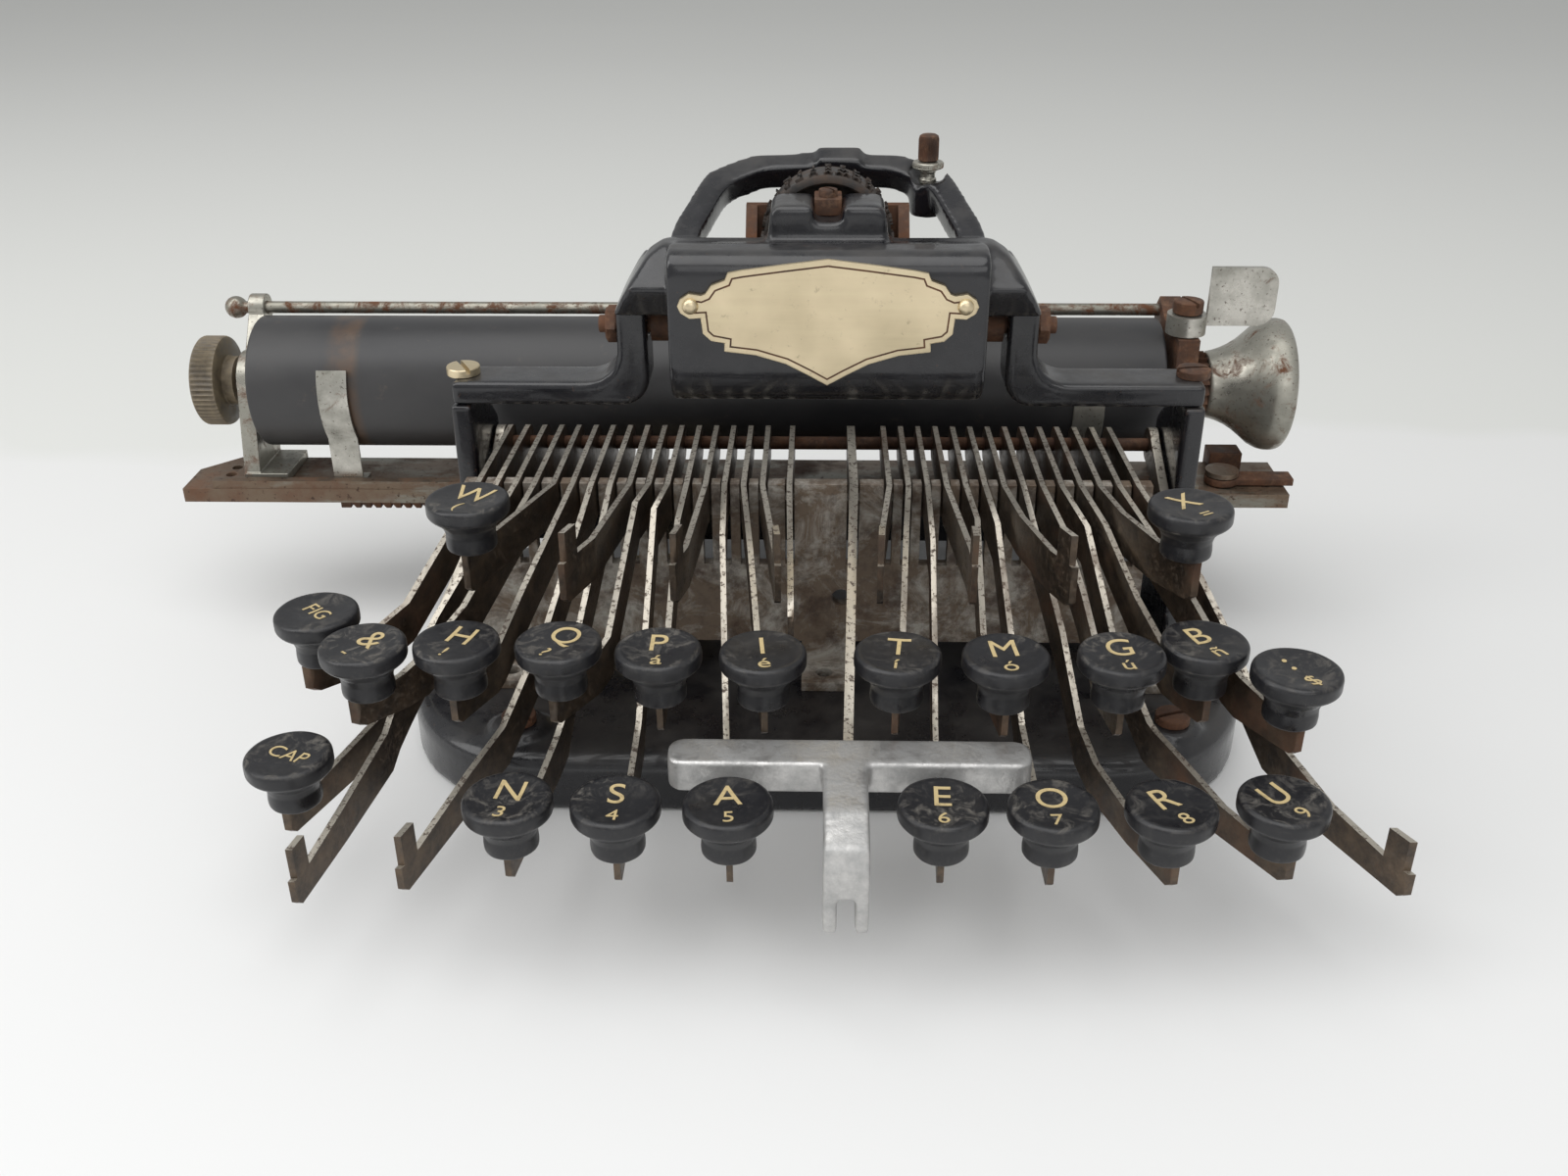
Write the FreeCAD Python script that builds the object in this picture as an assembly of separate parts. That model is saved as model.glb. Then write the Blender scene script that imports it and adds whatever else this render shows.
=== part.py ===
import FreeCAD, Part
import math
import os

# A small keyboard typewriter with a type wheel on a swinging frame.
# X runs along the platen, Y to the back, Z up. The origin is the centre of the base's
# flat underside. Sizes are millimetres.

V = FreeCAD.Vector
AXIS_X = V(1, 0, 0)
AXIS_Y = V(0, 1, 0)
AXIS_Z = V(0, 0, 1)

# Driving sizes of the keyboard
key_pitch = 19.0
comb_pitch = 3.98
comb_centre = 13.2
comb_y = -16.0
comb_thick = 3.0
lever_thick = 1.15
lever_height = 8.5
pivot_y = 16.0
pivot_z = 53.5
pivot_rod_radius = 1.5
running_fit = 0.08
body_gap = 0.3

# Heights of the cap tops of the three banks of keys
top_bank_z = 70.0
middle_bank_z = 52.0
bottom_bank_z = 35.0
cap_height = 10.5
cap_radius = 7.8

# Driving sizes of the base and the frame
base_width = 182.0
base_depth = 107.0
base_height = 12.5
foot_z = 70.0
foot_reach = 80.5
arm_inner = 37.8
arm_outer = 44.3
shoulder_z = 101.5
swing_y = 2.0
swing_z = 86.5

# Driving sizes of the type wheel and the platen
wheel_radius = 14.0
wheel_length = 9.0
wheel_y = 5.5
wheel_z = 103.5
platen_radius = 15.9
platen_y = 43.0
platen_z = 58.4
platen_left = -138.0
platen_right = 80.0
rail_left = -157.5
rail_right = 112.0
rail_front = 26.0
rail_rear = 46.0
rail_z = 33.0
rail_thick = 3.5

overrun = 1.0


def box(x0, x1, y0, y1, z0, z1):
    return Part.makeBox(x1 - x0, y1 - y0, z1 - z0, V(x0, y0, z0))


def rod(start, direction, radius, length):
    return Part.makeCylinder(radius, length, start, direction)


def face_of(points):
    return Part.Face(Part.makePolygon(points + [points[0]]))


def prism_along_x(points, x0, x1):
    return face_of([V(x0, y, z) for y, z in points]).extrude(V(x1 - x0, 0, 0))


def prism_along_y(points, y0, y1):
    return face_of([V(x, y0, z) for x, z in points]).extrude(V(0, y1 - y0, 0))


def prism_along_z(points, z0, z1):
    return face_of([V(x, y, z0) for x, y in points]).extrude(V(0, 0, z1 - z0))


def turned(profile, centre, axis):
    """Revolves (radius, height) points about an axis through centre."""
    outline = [V(r, 0, h) for r, h in profile]
    solid = face_of(outline).revolve(V(0, 0, 0), AXIS_Z, 360)
    solid.Placement = FreeCAD.Placement(centre, FreeCAD.Rotation(AXIS_Z, axis))
    return solid


def hexagon(centre, axis, across_flats, height):
    corner = across_flats / math.sqrt(3)
    points = [V(corner * math.cos(math.radians(a)), corner * math.sin(math.radians(a)), 0)
              for a in range(0, 360, 60)]
    solid = face_of(points).extrude(V(0, 0, height))
    solid.Placement = FreeCAD.Placement(centre, FreeCAD.Rotation(AXIS_Z, axis))
    return solid


def fuse(solids):
    joined = solids[0].fuse(solids[1:]) if len(solids) > 1 else solids[0]
    return joined.removeSplitter()


def rounded(solid, radius, chosen):
    """Fillets the edges for which chosen(edge) is true."""
    edges = [edge for edge in solid.Edges if chosen(edge)]
    return solid.makeFillet(radius, edges) if edges else solid


def is_along(edge, axis):
    if not isinstance(edge.Curve, Part.Line):
        return False
    return abs(abs(edge.tangentAt(edge.FirstParameter).dot(axis)) - 1) < 1e-6


def slotted_screw(seat, axis, head_radius, head_height, shank_radius, shank_length):
    """A cheese-head screw whose head stands on seat and points along axis."""
    head = rod(seat, axis, head_radius, head_height)
    side = AXIS_X if abs(axis.dot(AXIS_X)) < 0.5 else AXIS_Z
    slot_width = head_radius * screw_slot_share
    slot_depth = head_height * screw_depth_share
    slot = Part.makeBox(2 * head_radius + overrun, slot_width, head_height,
                        V(-head_radius - overrun / 2, -slot_width / 2, head_height - slot_depth))
    slot.Placement = FreeCAD.Placement(seat, FreeCAD.Rotation(side, axis.cross(side), axis, "ZXY"))
    shank = rod(seat - axis * shank_length, axis, shank_radius, shank_length)
    return fuse([head.cut(slot), shank])


screw_slot_share = 0.28
screw_depth_share = 0.45
parts = {}

# Key levers. Each lever lies in one slot of the comb, counted outwards from the middle,
# and bends across the keyboard on its way to its key. A route holds the bends and then the
# key's centre, as shares of the key pitch.
lever_routes_shares = {
    "figures_shift_key": (-16, "middle", [(-4.34, -2.53), (-5.00, -3.29)]),
    "capitals_shift_key": (-15, "bottom", [(-4.20, -2.53), (-4.63, -3.47), (-5.05, -4.45)]),
    "key_1": (-14, "bottom", [(-4.06, -2.53), (-4.34, -3.47), (-4.55, -4.75), (-4.69, -5.49)]),
    "key_ampersand": (-13, "middle", [(-3.69, -2.74), (-4.14, -3.63), (-4.37, -3.91)]),
    "key_w": (-12, "top", [(-3.49, -2.53), (-3.54, -2.68)]),
    "key_h": (-11, "middle", [(-3.13, -2.53), (-3.26, -3.16), (-3.50, -3.84)]),
    "key_2": (-10, "bottom", [(-2.89, -2.53), (-3.13, -3.26), (-3.45, -4.21), (-3.77, -5.29)]),
    "key_n": (-9, "bottom", [(-2.57, -2.53), (-2.67, -3.68), (-2.86, -5.09)]),
    "key_blank_1": (-8, "top", [(-2.38, -2.45), (-2.54, -2.89)]),
    "key_q": (-7, "middle", [(-2.07, -1.32), (-2.18, -3.09), (-2.53, -3.84)]),
    "key_s": (-6, "bottom", [(-1.87, -1.32), (-1.87, -3.68), (-1.88, -5.12)]),
    "key_p": (-5, "middle", [(-1.59, -1.58), (-1.57, -3.95)]),
    "key_blank_2": (-4, "top", [(-1.41, -2.63), (-1.47, -2.89)]),
    "key_a": (-3, "bottom", [(-1.11, -1.58), (-1.03, -2.89), (-0.87, -5.13)]),
    "key_i": (-2, "middle", [(-0.79, -2.00), (-0.59, -3.99)]),
    "key_blank_3": (-1, "top", [(-0.49, -2.89)]),
    "key_blank_4": (1, "top", [(0.58, -2.16), (0.54, -2.89)]),
    "key_t": (2, "middle", [(0.86, -1.63), (0.77, -3.05), (0.67, -3.99)]),
    "key_e": (3, "bottom", [(1.15, -1.63), (1.13, -2.63), (1.05, -5.11)]),
    "key_blank_5": (4, "top", [(1.45, -2.63), (1.45, -2.89)]),
    "key_m": (5, "middle", [(1.62, -1.53), (1.57, -3.05), (1.67, -4.01)]),
    "key_o": (6, "bottom", [(1.85, -1.45), (1.92, -2.58), (1.97, -3.42), (2.03, -5.12)]),
    "key_blank_6": (7, "top", [(2.05, -1.84), (2.26, -2.68), (2.35, -2.89)]),
    "key_r": (8, "bottom", [(2.45, -2.53), (2.56, -3.47), (2.63, -3.95), (2.87, -4.63),
                            (3.08, -5.10)]),
    "key_g": (9, "middle", [(2.52, -1.63), (2.63, -2.53), (2.70, -3.47), (2.75, -3.97)]),
    "key_u": (10, "bottom", [(2.81, -1.47), (2.97, -2.53), (3.29, -3.47), (3.44, -3.79),
                             (3.74, -4.47), (4.10, -5.01)]),
    "key_b": (11, "middle", [(2.98, -1.58), (3.18, -2.53), (3.47, -3.47), (3.57, -3.73)]),
    "key_x": (12, "top", [(3.12, -1.74), (3.36, -2.45), (3.54, -2.74)]),
    "key_colon": (13, "middle", [(3.42, -1.68), (3.68, -2.53), (3.92, -3.47), (4.29, -4.24)]),
    "key_0": (14, "bottom", [(3.94, -2.00), (4.13, -2.53), (4.42, -3.47), (4.74, -4.47),
                             (5.12, -5.21)]),
}
bare_keys = ["key_1", "key_2", "key_0"] + [f"key_blank_{i}" for i in range(1, 7)]
bank_cap_top = {"top": top_bank_z, "middle": middle_bank_z, "bottom": bottom_bank_z}
bank_tip_height = {"top": 8.5, "middle": 6.0, "bottom": 5.5}
comb_rest_z = 59.0
first_bend_y = -20.0
eye_radius = 4.0
bank_knee_share = {"top": 0.84, "middle": 0.86, "bottom": 0.67}
bank_knee_rise = {"top": -0.2, "middle": 1.5, "bottom": 5.0}
tip_reach = 3.0
tip_corner = 1.2
tab_half = 2.0
tab_height = 6.0


def slot_x(slot):
    side = 1 if slot > 0 else -1
    return side * (comb_centre + comb_pitch * (abs(slot) - 1))


def ribbon(centre_line, thickness):
    """A strip of even thickness in plan along a line of bends."""
    left = []
    right = []
    last = len(centre_line) - 1
    for i, (x, y) in enumerate(centre_line):
        before = centre_line[max(i - 1, 0)]
        after = centre_line[min(i + 1, last)]
        slope = (after[0] - before[0]) / (after[1] - before[1])
        half = thickness / 2 * math.sqrt(1 + slope * slope)
        left.append((x - half, y))
        right.append((x + half, y))
    return left + right[::-1]


def lever_side(bank, key_y):
    """The lever's outline seen from the side, from its pivot eye to the tab for its cap."""
    shoulder_z = bank_cap_top[bank] - cap_height
    tab_top_z = shoulder_z + tab_height
    tip_height = bank_tip_height[bank]
    knee_y = key_y * bank_knee_share[bank]
    knee_z = shoulder_z + bank_knee_rise[bank]
    return [
        (pivot_y, pivot_z + eye_radius),
        (first_bend_y, comb_rest_z),
        (knee_y, knee_z),
        (key_y + tab_half, shoulder_z),
        (key_y + tab_half, tab_top_z),
        (key_y - tab_half, tab_top_z),
        (key_y - tab_half, shoulder_z),
        (key_y - tip_reach, shoulder_z),
        (key_y - tip_reach, shoulder_z - tip_height + tip_corner),
        (key_y - tip_reach + tip_corner, shoulder_z - tip_height),
        (knee_y, knee_z - lever_height),
        (first_bend_y, comb_rest_z - lever_height),
        (pivot_y, pivot_z - eye_radius),
    ]


def lever_blade(centre_line, side, thickness):
    heights = [z for _, z in side]
    lane = prism_along_z(ribbon(centre_line, thickness), min(heights) - overrun,
                         max(heights) + overrun)
    widths = [x for x, _ in centre_line]
    outline = prism_along_x(side, min(widths) - overrun - thickness,
                            max(widths) + overrun + thickness)
    blade = lane.common(outline)
    rear_x = centre_line[0][0] - thickness / 2
    eye = rod(V(rear_x, pivot_y, pivot_z), AXIS_X, eye_radius, thickness)
    hole = rod(V(rear_x - overrun, pivot_y, pivot_z), AXIS_X, pivot_rod_radius + running_fit,
               thickness + 2 * overrun)
    return fuse([blade, eye]).cut(hole)


shortest_run = 2.5


def straight_runs(blade, stations):
    """Cuts a blade across at its bends. The runs meet face to face, and each is convex, so
    that collision follows every bend of the lever."""
    reach = blade.BoundBox
    ends = [reach.YMax + overrun]
    for station in sorted(stations, reverse=True):
        if ends[-1] - station > shortest_run and station - reach.YMin > shortest_run:
            ends.append(station)
    ends.append(reach.YMin - overrun)
    runs = []
    for rear, front in zip(ends, ends[1:]):
        slab = box(reach.XMin - overrun, reach.XMax + overrun, front, rear,
                   reach.ZMin - overrun, reach.ZMax + overrun)
        runs += blade.common(slab).Solids
    return runs


cap_hub_radius = 5.0
cap_hub_height = 3.2
cap_rim_height = 2.5
cap_edge = 0.5
cap_dish_depth = 0.7
cap_dish_radius = 6.6


def key_cap(x, y, bottom_z):
    """A round dished cap on a hub, turned about its own centre line."""
    rim_z = cap_height - cap_rim_height
    profile = [
        (0, 0),
        (cap_hub_radius, 0),
        (cap_hub_radius, cap_hub_height),
        (cap_radius, rim_z),
        (cap_radius, cap_height - cap_edge),
        (cap_radius - cap_edge, cap_height),
        (cap_dish_radius, cap_height),
        (0, cap_height - cap_dish_depth),
    ]
    return turned(profile, V(x, y, bottom_z), AXIS_Z)


def key_lever(name):
    slot, bank, route_shares = lever_routes_shares[name]
    x = slot_x(slot)
    bends = [(key_pitch * a, key_pitch * b) for a, b in route_shares]
    key_x, key_y = bends[-1]
    before_x, before_y = bends[-2] if len(bends) > 1 else (x, first_bend_y)
    end_y = key_y - tip_reach - overrun
    slope = (key_x - before_x) / (key_y - before_y)
    end = (key_x + slope * (end_y - key_y), end_y)
    centre_line = [(x, pivot_y), (x, first_bend_y)] + bends[:-1] + [end]
    shoulder = bank_cap_top[bank] - cap_height
    side = lever_side(bank, key_y)
    blade = lever_blade(centre_line, side, lever_thick)
    knee_y = key_y * bank_knee_share[bank]
    stations = [y for _, y in centre_line[1:-1]] + [knee_y, key_y + tab_half]
    runs = straight_runs(blade, stations)
    if name in bare_keys:
        return runs
    return runs + [key_cap(key_x, key_y, shoulder).cut(blade)]


for key_name in lever_routes_shares:
    parts[key_name] = key_lever(key_name)

# Space key: a thicker lever that carries a cast crossbar with a tongue bent down in front
space_slot_x = 5.8
space_thick = 1.8
space_end_x = 4.0
space_bar_left = -28.0
space_bar_right = 36.5
space_bar_front = -87.5
space_bar_rear = -79.5
space_bar_bottom = 29.5
space_bar_top = 35.8
space_lever_top = 35.0
space_knee_y = -72.0
space_knee_drop = 1.0
space_end_y = -83.0
tongue_width = 7.8
tongue_centre_x = 3.5
tongue_front = -110.0
tongue_low_z = 17.0
tongue_thick = 4.5
fork_width = 3.0
fork_height = 7.0


def space_key():
    side = [
        (pivot_y, pivot_z + eye_radius),
        (first_bend_y, comb_rest_z),
        (space_knee_y, space_lever_top + space_knee_drop),
        (space_end_y, space_lever_top),
        (space_end_y, space_bar_bottom),
        (space_knee_y, space_bar_bottom),
        (first_bend_y, comb_rest_z - lever_height),
        (pivot_y, pivot_z - eye_radius),
    ]
    line = [(space_slot_x, pivot_y), (space_slot_x, first_bend_y),
            (space_end_x, space_end_y - overrun)]
    blade = lever_blade(line, side, space_thick)
    bar = box(space_bar_left, space_bar_right, space_bar_front, space_bar_rear,
              space_bar_bottom, space_bar_top)
    round_end = (space_bar_rear - space_bar_front) * bar_end_share
    bar = rounded(bar, round_end, lambda e: is_along(e, AXIS_Z))
    bend_y = tongue_front + tongue_thick + tongue_bend
    tongue = prism_along_x([
        (space_bar_rear, space_bar_top),
        (bend_y, space_bar_top),
        (tongue_front + tongue_bend_step, space_bar_top - tongue_bend / 2),
        (tongue_front, space_bar_top - tongue_bend - tongue_bend_step),
        (tongue_front, tongue_low_z),
        (tongue_front + tongue_thick, tongue_low_z),
        (tongue_front + tongue_thick, space_bar_top - tongue_bend - tongue_thick),
        (bend_y, space_bar_top - tongue_thick),
        (space_bar_rear, space_bar_top - tongue_thick),
    ], tongue_centre_x - tongue_width / 2, tongue_centre_x + tongue_width / 2)
    fork = box(tongue_centre_x - fork_width / 2, tongue_centre_x + fork_width / 2,
               tongue_front - overrun, tongue_front + tongue_thick + overrun,
               tongue_low_z - overrun, tongue_low_z + fork_height)
    runs = straight_runs(blade, [first_bend_y, space_knee_y])
    return runs + [bar.cut(blade), tongue.cut([bar, fork, blade])]


bar_end_share = 0.35
tongue_bend = 4.5
tongue_bend_step = 1.5
parts["space_key"] = space_key()

# Centre lever: a thin lever without a cap, in the slot left of the middle
centre_slot_x = -7.6
centre_end_x = -6.5
centre_end_y = -62.0
centre_end_top = 51.0
centre_end_height = 5.0
centre_knee_back = 4.0
centre_knee_rise = 3.0


def centre_lever():
    knee_y = centre_end_y + centre_knee_back
    side = [
        (pivot_y, pivot_z + eye_radius),
        (first_bend_y, comb_rest_z),
        (knee_y, centre_end_top + centre_knee_rise),
        (centre_end_y, centre_end_top),
        (centre_end_y, centre_end_top - centre_end_height),
        (knee_y, centre_end_top - centre_end_height),
        (first_bend_y, comb_rest_z - lever_height),
        (pivot_y, pivot_z - eye_radius),
    ]
    line = [(centre_slot_x, pivot_y), (centre_slot_x, first_bend_y),
            (centre_end_x, centre_end_y - overrun)]
    return straight_runs(lever_blade(line, side, lever_thick), [first_bend_y, knee_y])


parts["centre_lever"] = centre_lever()

# Comb plate: an upright plate with a slot for every lever, on three tabs
comb_top = 58.0
comb_bottom = 20.0
comb_slot_bottom = 39.0
comb_slot_play = 0.4
comb_margin = 3.5
comb_hole_radius = 2.0
comb_hole_z = 31.0
comb_tab_width = 10.0
comb_tab_reach = 9.0
comb_tab_thick = 2.2
comb_tab_hole = 1.8
comb_tab_shares = [-0.38, 0.0, 0.38]


def comb_plate():
    left = slot_x(-16) - comb_margin
    right = slot_x(14) + comb_margin
    front = comb_y - comb_thick / 2
    rear = comb_y + comb_thick / 2
    plate = box(left, right, front, rear, comb_bottom, comb_top)
    slots = [(slot_x(route[0]), lever_thick) for route in lever_routes_shares.values()]
    slots += [(space_slot_x, space_thick), (centre_slot_x, lever_thick)]
    cuts = []
    for x, thickness in slots:
        half = thickness / 2 + comb_slot_play
        cuts.append(box(x - half, x + half, front - overrun, rear + overrun,
                        comb_slot_bottom, comb_top + overrun))
    cuts.append(rod(V(tongue_centre_x, front - overrun, comb_hole_z), AXIS_Y, comb_hole_radius,
                    comb_thick + 2 * overrun))
    plate = plate.cut(cuts)
    pieces = [plate]
    holes = []
    for share in comb_tab_shares:
        x = share * base_width
        pieces.append(box(x - comb_tab_width / 2, x + comb_tab_width / 2, front, rear,
                          base_height, comb_bottom))
        pieces.append(box(x - comb_tab_width / 2, x + comb_tab_width / 2,
                          front - comb_tab_reach, front, base_height,
                          base_height + comb_tab_thick))
        holes.append(rod(V(x, front - comb_tab_reach / 2, base_height - overrun), AXIS_Z,
                         comb_tab_hole, comb_tab_thick + 2 * overrun))
    return [fuse(pieces).cut(holes)]


parts["comb_plate"] = comb_plate()

# Pivot rod of the levers, held in the two posts
post_inner = 76.5
post_outer = 81.0
seat_fit = 0.05
parts["lever_pivot_rod"] = [rod(V(-post_outer, pivot_y, pivot_z), AXIS_X, pivot_rod_radius,
                                2 * post_outer)]

# Universal bar: lies across under all the levers and hangs on the pivot rod by two arms
universal_width = 4.0
universal_height = 4.0
universal_y = -2.0
universal_top = 48.2
universal_arm = 2.2
universal_gap = 0.4


def universal_bar():
    """The bar with its two arms, which it meets face to face."""
    outer = post_inner - universal_gap
    bar = box(-outer, outer, universal_y - universal_width / 2, universal_y + universal_width / 2,
              universal_top - universal_height, universal_top)
    hole = rod(V(-post_outer, pivot_y, pivot_z), AXIS_X, pivot_rod_radius + running_fit,
               2 * post_outer)
    arms = []
    for x in (-outer, outer - universal_arm):
        arm = prism_along_x([
            (universal_y - universal_width / 2, universal_top - universal_height),
            (universal_y - universal_width / 2, universal_top),
            (pivot_y, pivot_z + eye_radius),
            (pivot_y, pivot_z - eye_radius),
        ], x, x + universal_arm)
        eye = rod(V(x, pivot_y, pivot_z), AXIS_X, eye_radius, universal_arm)
        arms.append(fuse([arm, eye]).cut([hole, bar]))
    return [bar] + arms


parts["universal_bar"] = universal_bar()

# Base casting: an open-bottomed tray turned over, with two posts
base_corner = 34.0
base_skirt = 4.0
base_plate = 4.0
base_edge = 3.5
base_rib = 5.0
base_boss_radius = 6.0
base_boss_height = 1.6
base_boss_places_shares = [(-0.352, -0.39), (0.4, -0.37)]
post_top_front = -4.0
post_top_rear = 8.0
post_shoulder_rear = 21.5
post_shoulder_top = 58.5
post_shoulder_low = 46.0
post_root_front = -10.0
post_root_rear = 24.0
drum_stud_x = -40.0
drum_stud_y = 8.0
drum_stud_radius = 2.5
drum_stud_height = 11.0
screw_radius = 1.6
screw_head_radius = 3.6
screw_head_height = 2.0
screw_length = 8.0


def base_bosses():
    return [(a * base_width, b * base_depth) for a, b in base_boss_places_shares]


def base_casting():
    half_x = base_width / 2
    half_y = base_depth / 2
    outer = box(-half_x, half_x, -half_y, half_y, 0, base_height)
    outer = rounded(outer, base_corner, lambda e: is_along(e, AXIS_Z))
    outer = rounded(outer, min(base_edge, base_skirt * 0.9),
                    lambda e: abs(e.BoundBox.ZMin - base_height) < 1e-3)
    inner = box(-half_x + base_skirt, half_x - base_skirt, -half_y + base_skirt,
                half_y - base_skirt, -overrun, base_height - base_plate)
    inner = rounded(inner, base_corner - base_skirt, lambda e: is_along(e, AXIS_Z))
    inside = base_height - base_plate / 2
    pieces = [
        outer.cut(inner),
        box(-base_rib / 2, base_rib / 2, -half_y + base_skirt / 2, half_y - base_skirt / 2,
            0, inside),
        box(-half_x + base_skirt / 2, half_x - base_skirt / 2, -base_rib / 2, base_rib / 2,
            0, inside),
    ]
    for x, y in base_bosses():
        pieces.append(rod(V(x, y, 0), AXIS_Z, base_boss_radius, base_height + base_boss_height))
    post = [
        (post_root_front, base_height - overrun),
        (post_top_front, post_shoulder_low),
        (post_top_front, foot_z),
        (post_top_rear, foot_z),
        (post_shoulder_rear, post_shoulder_top),
        (post_shoulder_rear, post_shoulder_low),
        (post_root_rear, base_height - overrun),
    ]
    pieces.append(prism_along_x(post, -post_outer, -post_inner))
    pieces.append(prism_along_x(post, post_inner, post_outer))
    pieces.append(rod(V(drum_stud_x, drum_stud_y, base_height - overrun), AXIS_Z,
                      drum_stud_radius, drum_stud_height + overrun))
    cuts = [rod(V(-half_x, pivot_y, pivot_z), AXIS_X, pivot_rod_radius + seat_fit, base_width)]
    for x, y in base_bosses():
        top = base_height + base_boss_height
        cuts.append(rod(V(x, y, top - screw_length), AXIS_Z, screw_radius + seat_fit,
                        screw_length + overrun))
    for x in (-foot_screw_x, foot_screw_x):
        cuts.append(rod(V(x, foot_screw_y, foot_z - screw_length), AXIS_Z,
                        screw_radius + seat_fit, screw_length + overrun))
    return [fuse(pieces).cut(cuts)]


foot_screw_x = (post_inner + post_outer) / 2
foot_screw_y = 2.0
foot_height = 5.2
parts["base_casting"] = base_casting()


def frame_screws():
    """Two screws through the frame's feet and two in the bosses of the base."""
    screws = []
    for x in (-foot_screw_x, foot_screw_x):
        seat = V(x, foot_screw_y, foot_z + foot_height)
        screws.append(slotted_screw(seat, AXIS_Z, screw_head_radius, screw_head_height,
                                    screw_radius, foot_height + screw_length - overrun))
    for x, y in base_bosses():
        seat = V(x, y, base_height + base_boss_height)
        screws.append(slotted_screw(seat, AXIS_Z, screw_head_radius, screw_head_height,
                                    screw_radius, screw_length - overrun))
    return screws


parts["frame_screws"] = frame_screws()

# Top frame: arms on spread feet, a web, a rounded drum in front and an arch leaned back
foot_front = -4.0
foot_rear = 8.0
foot_curve = 7.0
heel_curve = 6.0
web_bottom = 92.0
web_outline_shares = [(-0.5, 0.0), (-0.64, 0.5), (-0.22, 1.0), (0.06, 1.0), (0.08, 0.55),
                      (-0.16, 0.1)]
shoulder_rise = 4.0
shoulder_low_z = 91.0
shoulder_slope_shares = [(0.0, 1.0), (0.3, 0.86), (0.6, 0.56), (0.85, 0.24), (1.0, 0.0)]
drum_half = 31.5
drum_front = -22.0
drum_rear = -3.5
drum_bottom = 76.0
drum_top = 107.8
drum_bottom_curve = 8.5
drum_top_curve = 4.0
drum_brow_y = -13.0
drum_rear_drop = 2.3
guard_half = 15.0
guard_outline_shares = [(-1.0, 0.0), (-1.0, 0.2), (-0.82, 0.45), (-0.76, 1.0), (0.76, 1.0),
                        (0.82, 0.45), (1.0, 0.2), (1.0, 0.0)]
guard_front = -8.0
guard_rear = 4.6
guard_top = 113.8
guard_notch_half = 2.8
guard_notch_depth = 3.4
arch_reach = 35.0
arch_half = 33.5
arch_width = 5.6
arch_thick = 5.6
arch_lean = 23.0
arch_foot_z = 98.0
arch_outline_shares = [(-1.0, 0.0), (-0.96, 0.28), (-0.79, 0.79), (-0.5, 0.97), (0.0, 1.0),
                       (0.5, 0.97), (0.79, 0.79), (0.96, 0.28), (1.0, 0.0)]
arch_curve = 9.0
arch_pad_left = -2.5
arch_pad_right = 7.5
arch_pad_height = 1.4
ink_post_x = 21.6
ink_post_y = 23.5
ink_boss_radius = 3.9
ink_boss_bottom = 104.4
ink_boss_top = 111.5
ink_spot_height = 6.0
ink_post_radius = 1.6
ink_collar_radius = 3.4
pivot_screw_radius = 1.9


def arch():
    """A flat loop made in plan, then leaned back about its feet."""
    half = arch_half
    outer = [(a * half, b * arch_reach) for a, b in arch_outline_shares]
    inner_half = half - arch_width - overrun / 2
    inner_reach = arch_reach - arch_width
    inner = [(a * inner_half, b * inner_reach) for a, b in arch_outline_shares]
    inner = [(inner[0][0], -overrun)] + inner[1:-1] + [(inner[-1][0], -overrun)]

    def curved(points):
        loop = prism_along_z(points, 0, arch_thick)
        ends = [max(y for _, y in points) * share for share in (0.2, 0.9)]
        return rounded(loop, arch_curve, lambda e: is_along(e, AXIS_Z)
                       and ends[0] < e.BoundBox.YMin)
    loop = curved(outer).cut(curved(inner))
    pad = box(arch_pad_left, arch_pad_right, arch_reach - arch_width, arch_reach,
              arch_thick - overrun, arch_thick + arch_pad_height)
    loop = fuse([loop, pad])
    loop.rotate(V(0, 0, 0), AXIS_X, arch_lean)
    loop.translate(V(0, 0, arch_foot_z))
    return loop


def side_arm(side):
    near = side * arm_inner
    far = side * arm_outer
    toe = side * foot_reach
    arm = prism_along_y([
        (near, shoulder_z),
        (near, foot_z),
        (toe, foot_z),
        (toe, foot_z + foot_height),
        (far, foot_z + foot_height),
        (far, shoulder_z),
    ], foot_front, foot_rear)
    arm = rounded(arm, foot_curve, lambda e: is_along(e, AXIS_Y)
                  and abs(e.BoundBox.XMin - far) < 1e-3
                  and abs(e.BoundBox.ZMin - foot_z - foot_height) < 1e-3)
    return rounded(arm, min(heel_curve, arm_outer - arm_inner), lambda e: is_along(e, AXIS_Y)
                   and abs(e.BoundBox.XMin - near) < 1e-3
                   and abs(e.BoundBox.ZMin - foot_z) < 1e-3)


def sloped_shoulder(side):
    """What comes off a shoulder, from beside the arch down to the outside of the arm."""
    top = shoulder_z + shoulder_rise
    slope = [(arch_half + a * (arm_outer - arch_half), shoulder_low_z + b * (top - shoulder_low_z))
             for a, b in shoulder_slope_shares]
    outside = arm_outer + overrun
    points = slope + [(outside, shoulder_low_z), (outside, top + overrun),
                      (arch_half, top + overrun)]
    return prism_along_y([(side * x, z) for x, z in points], drum_front - overrun,
                         foot_rear + overrun)


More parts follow.
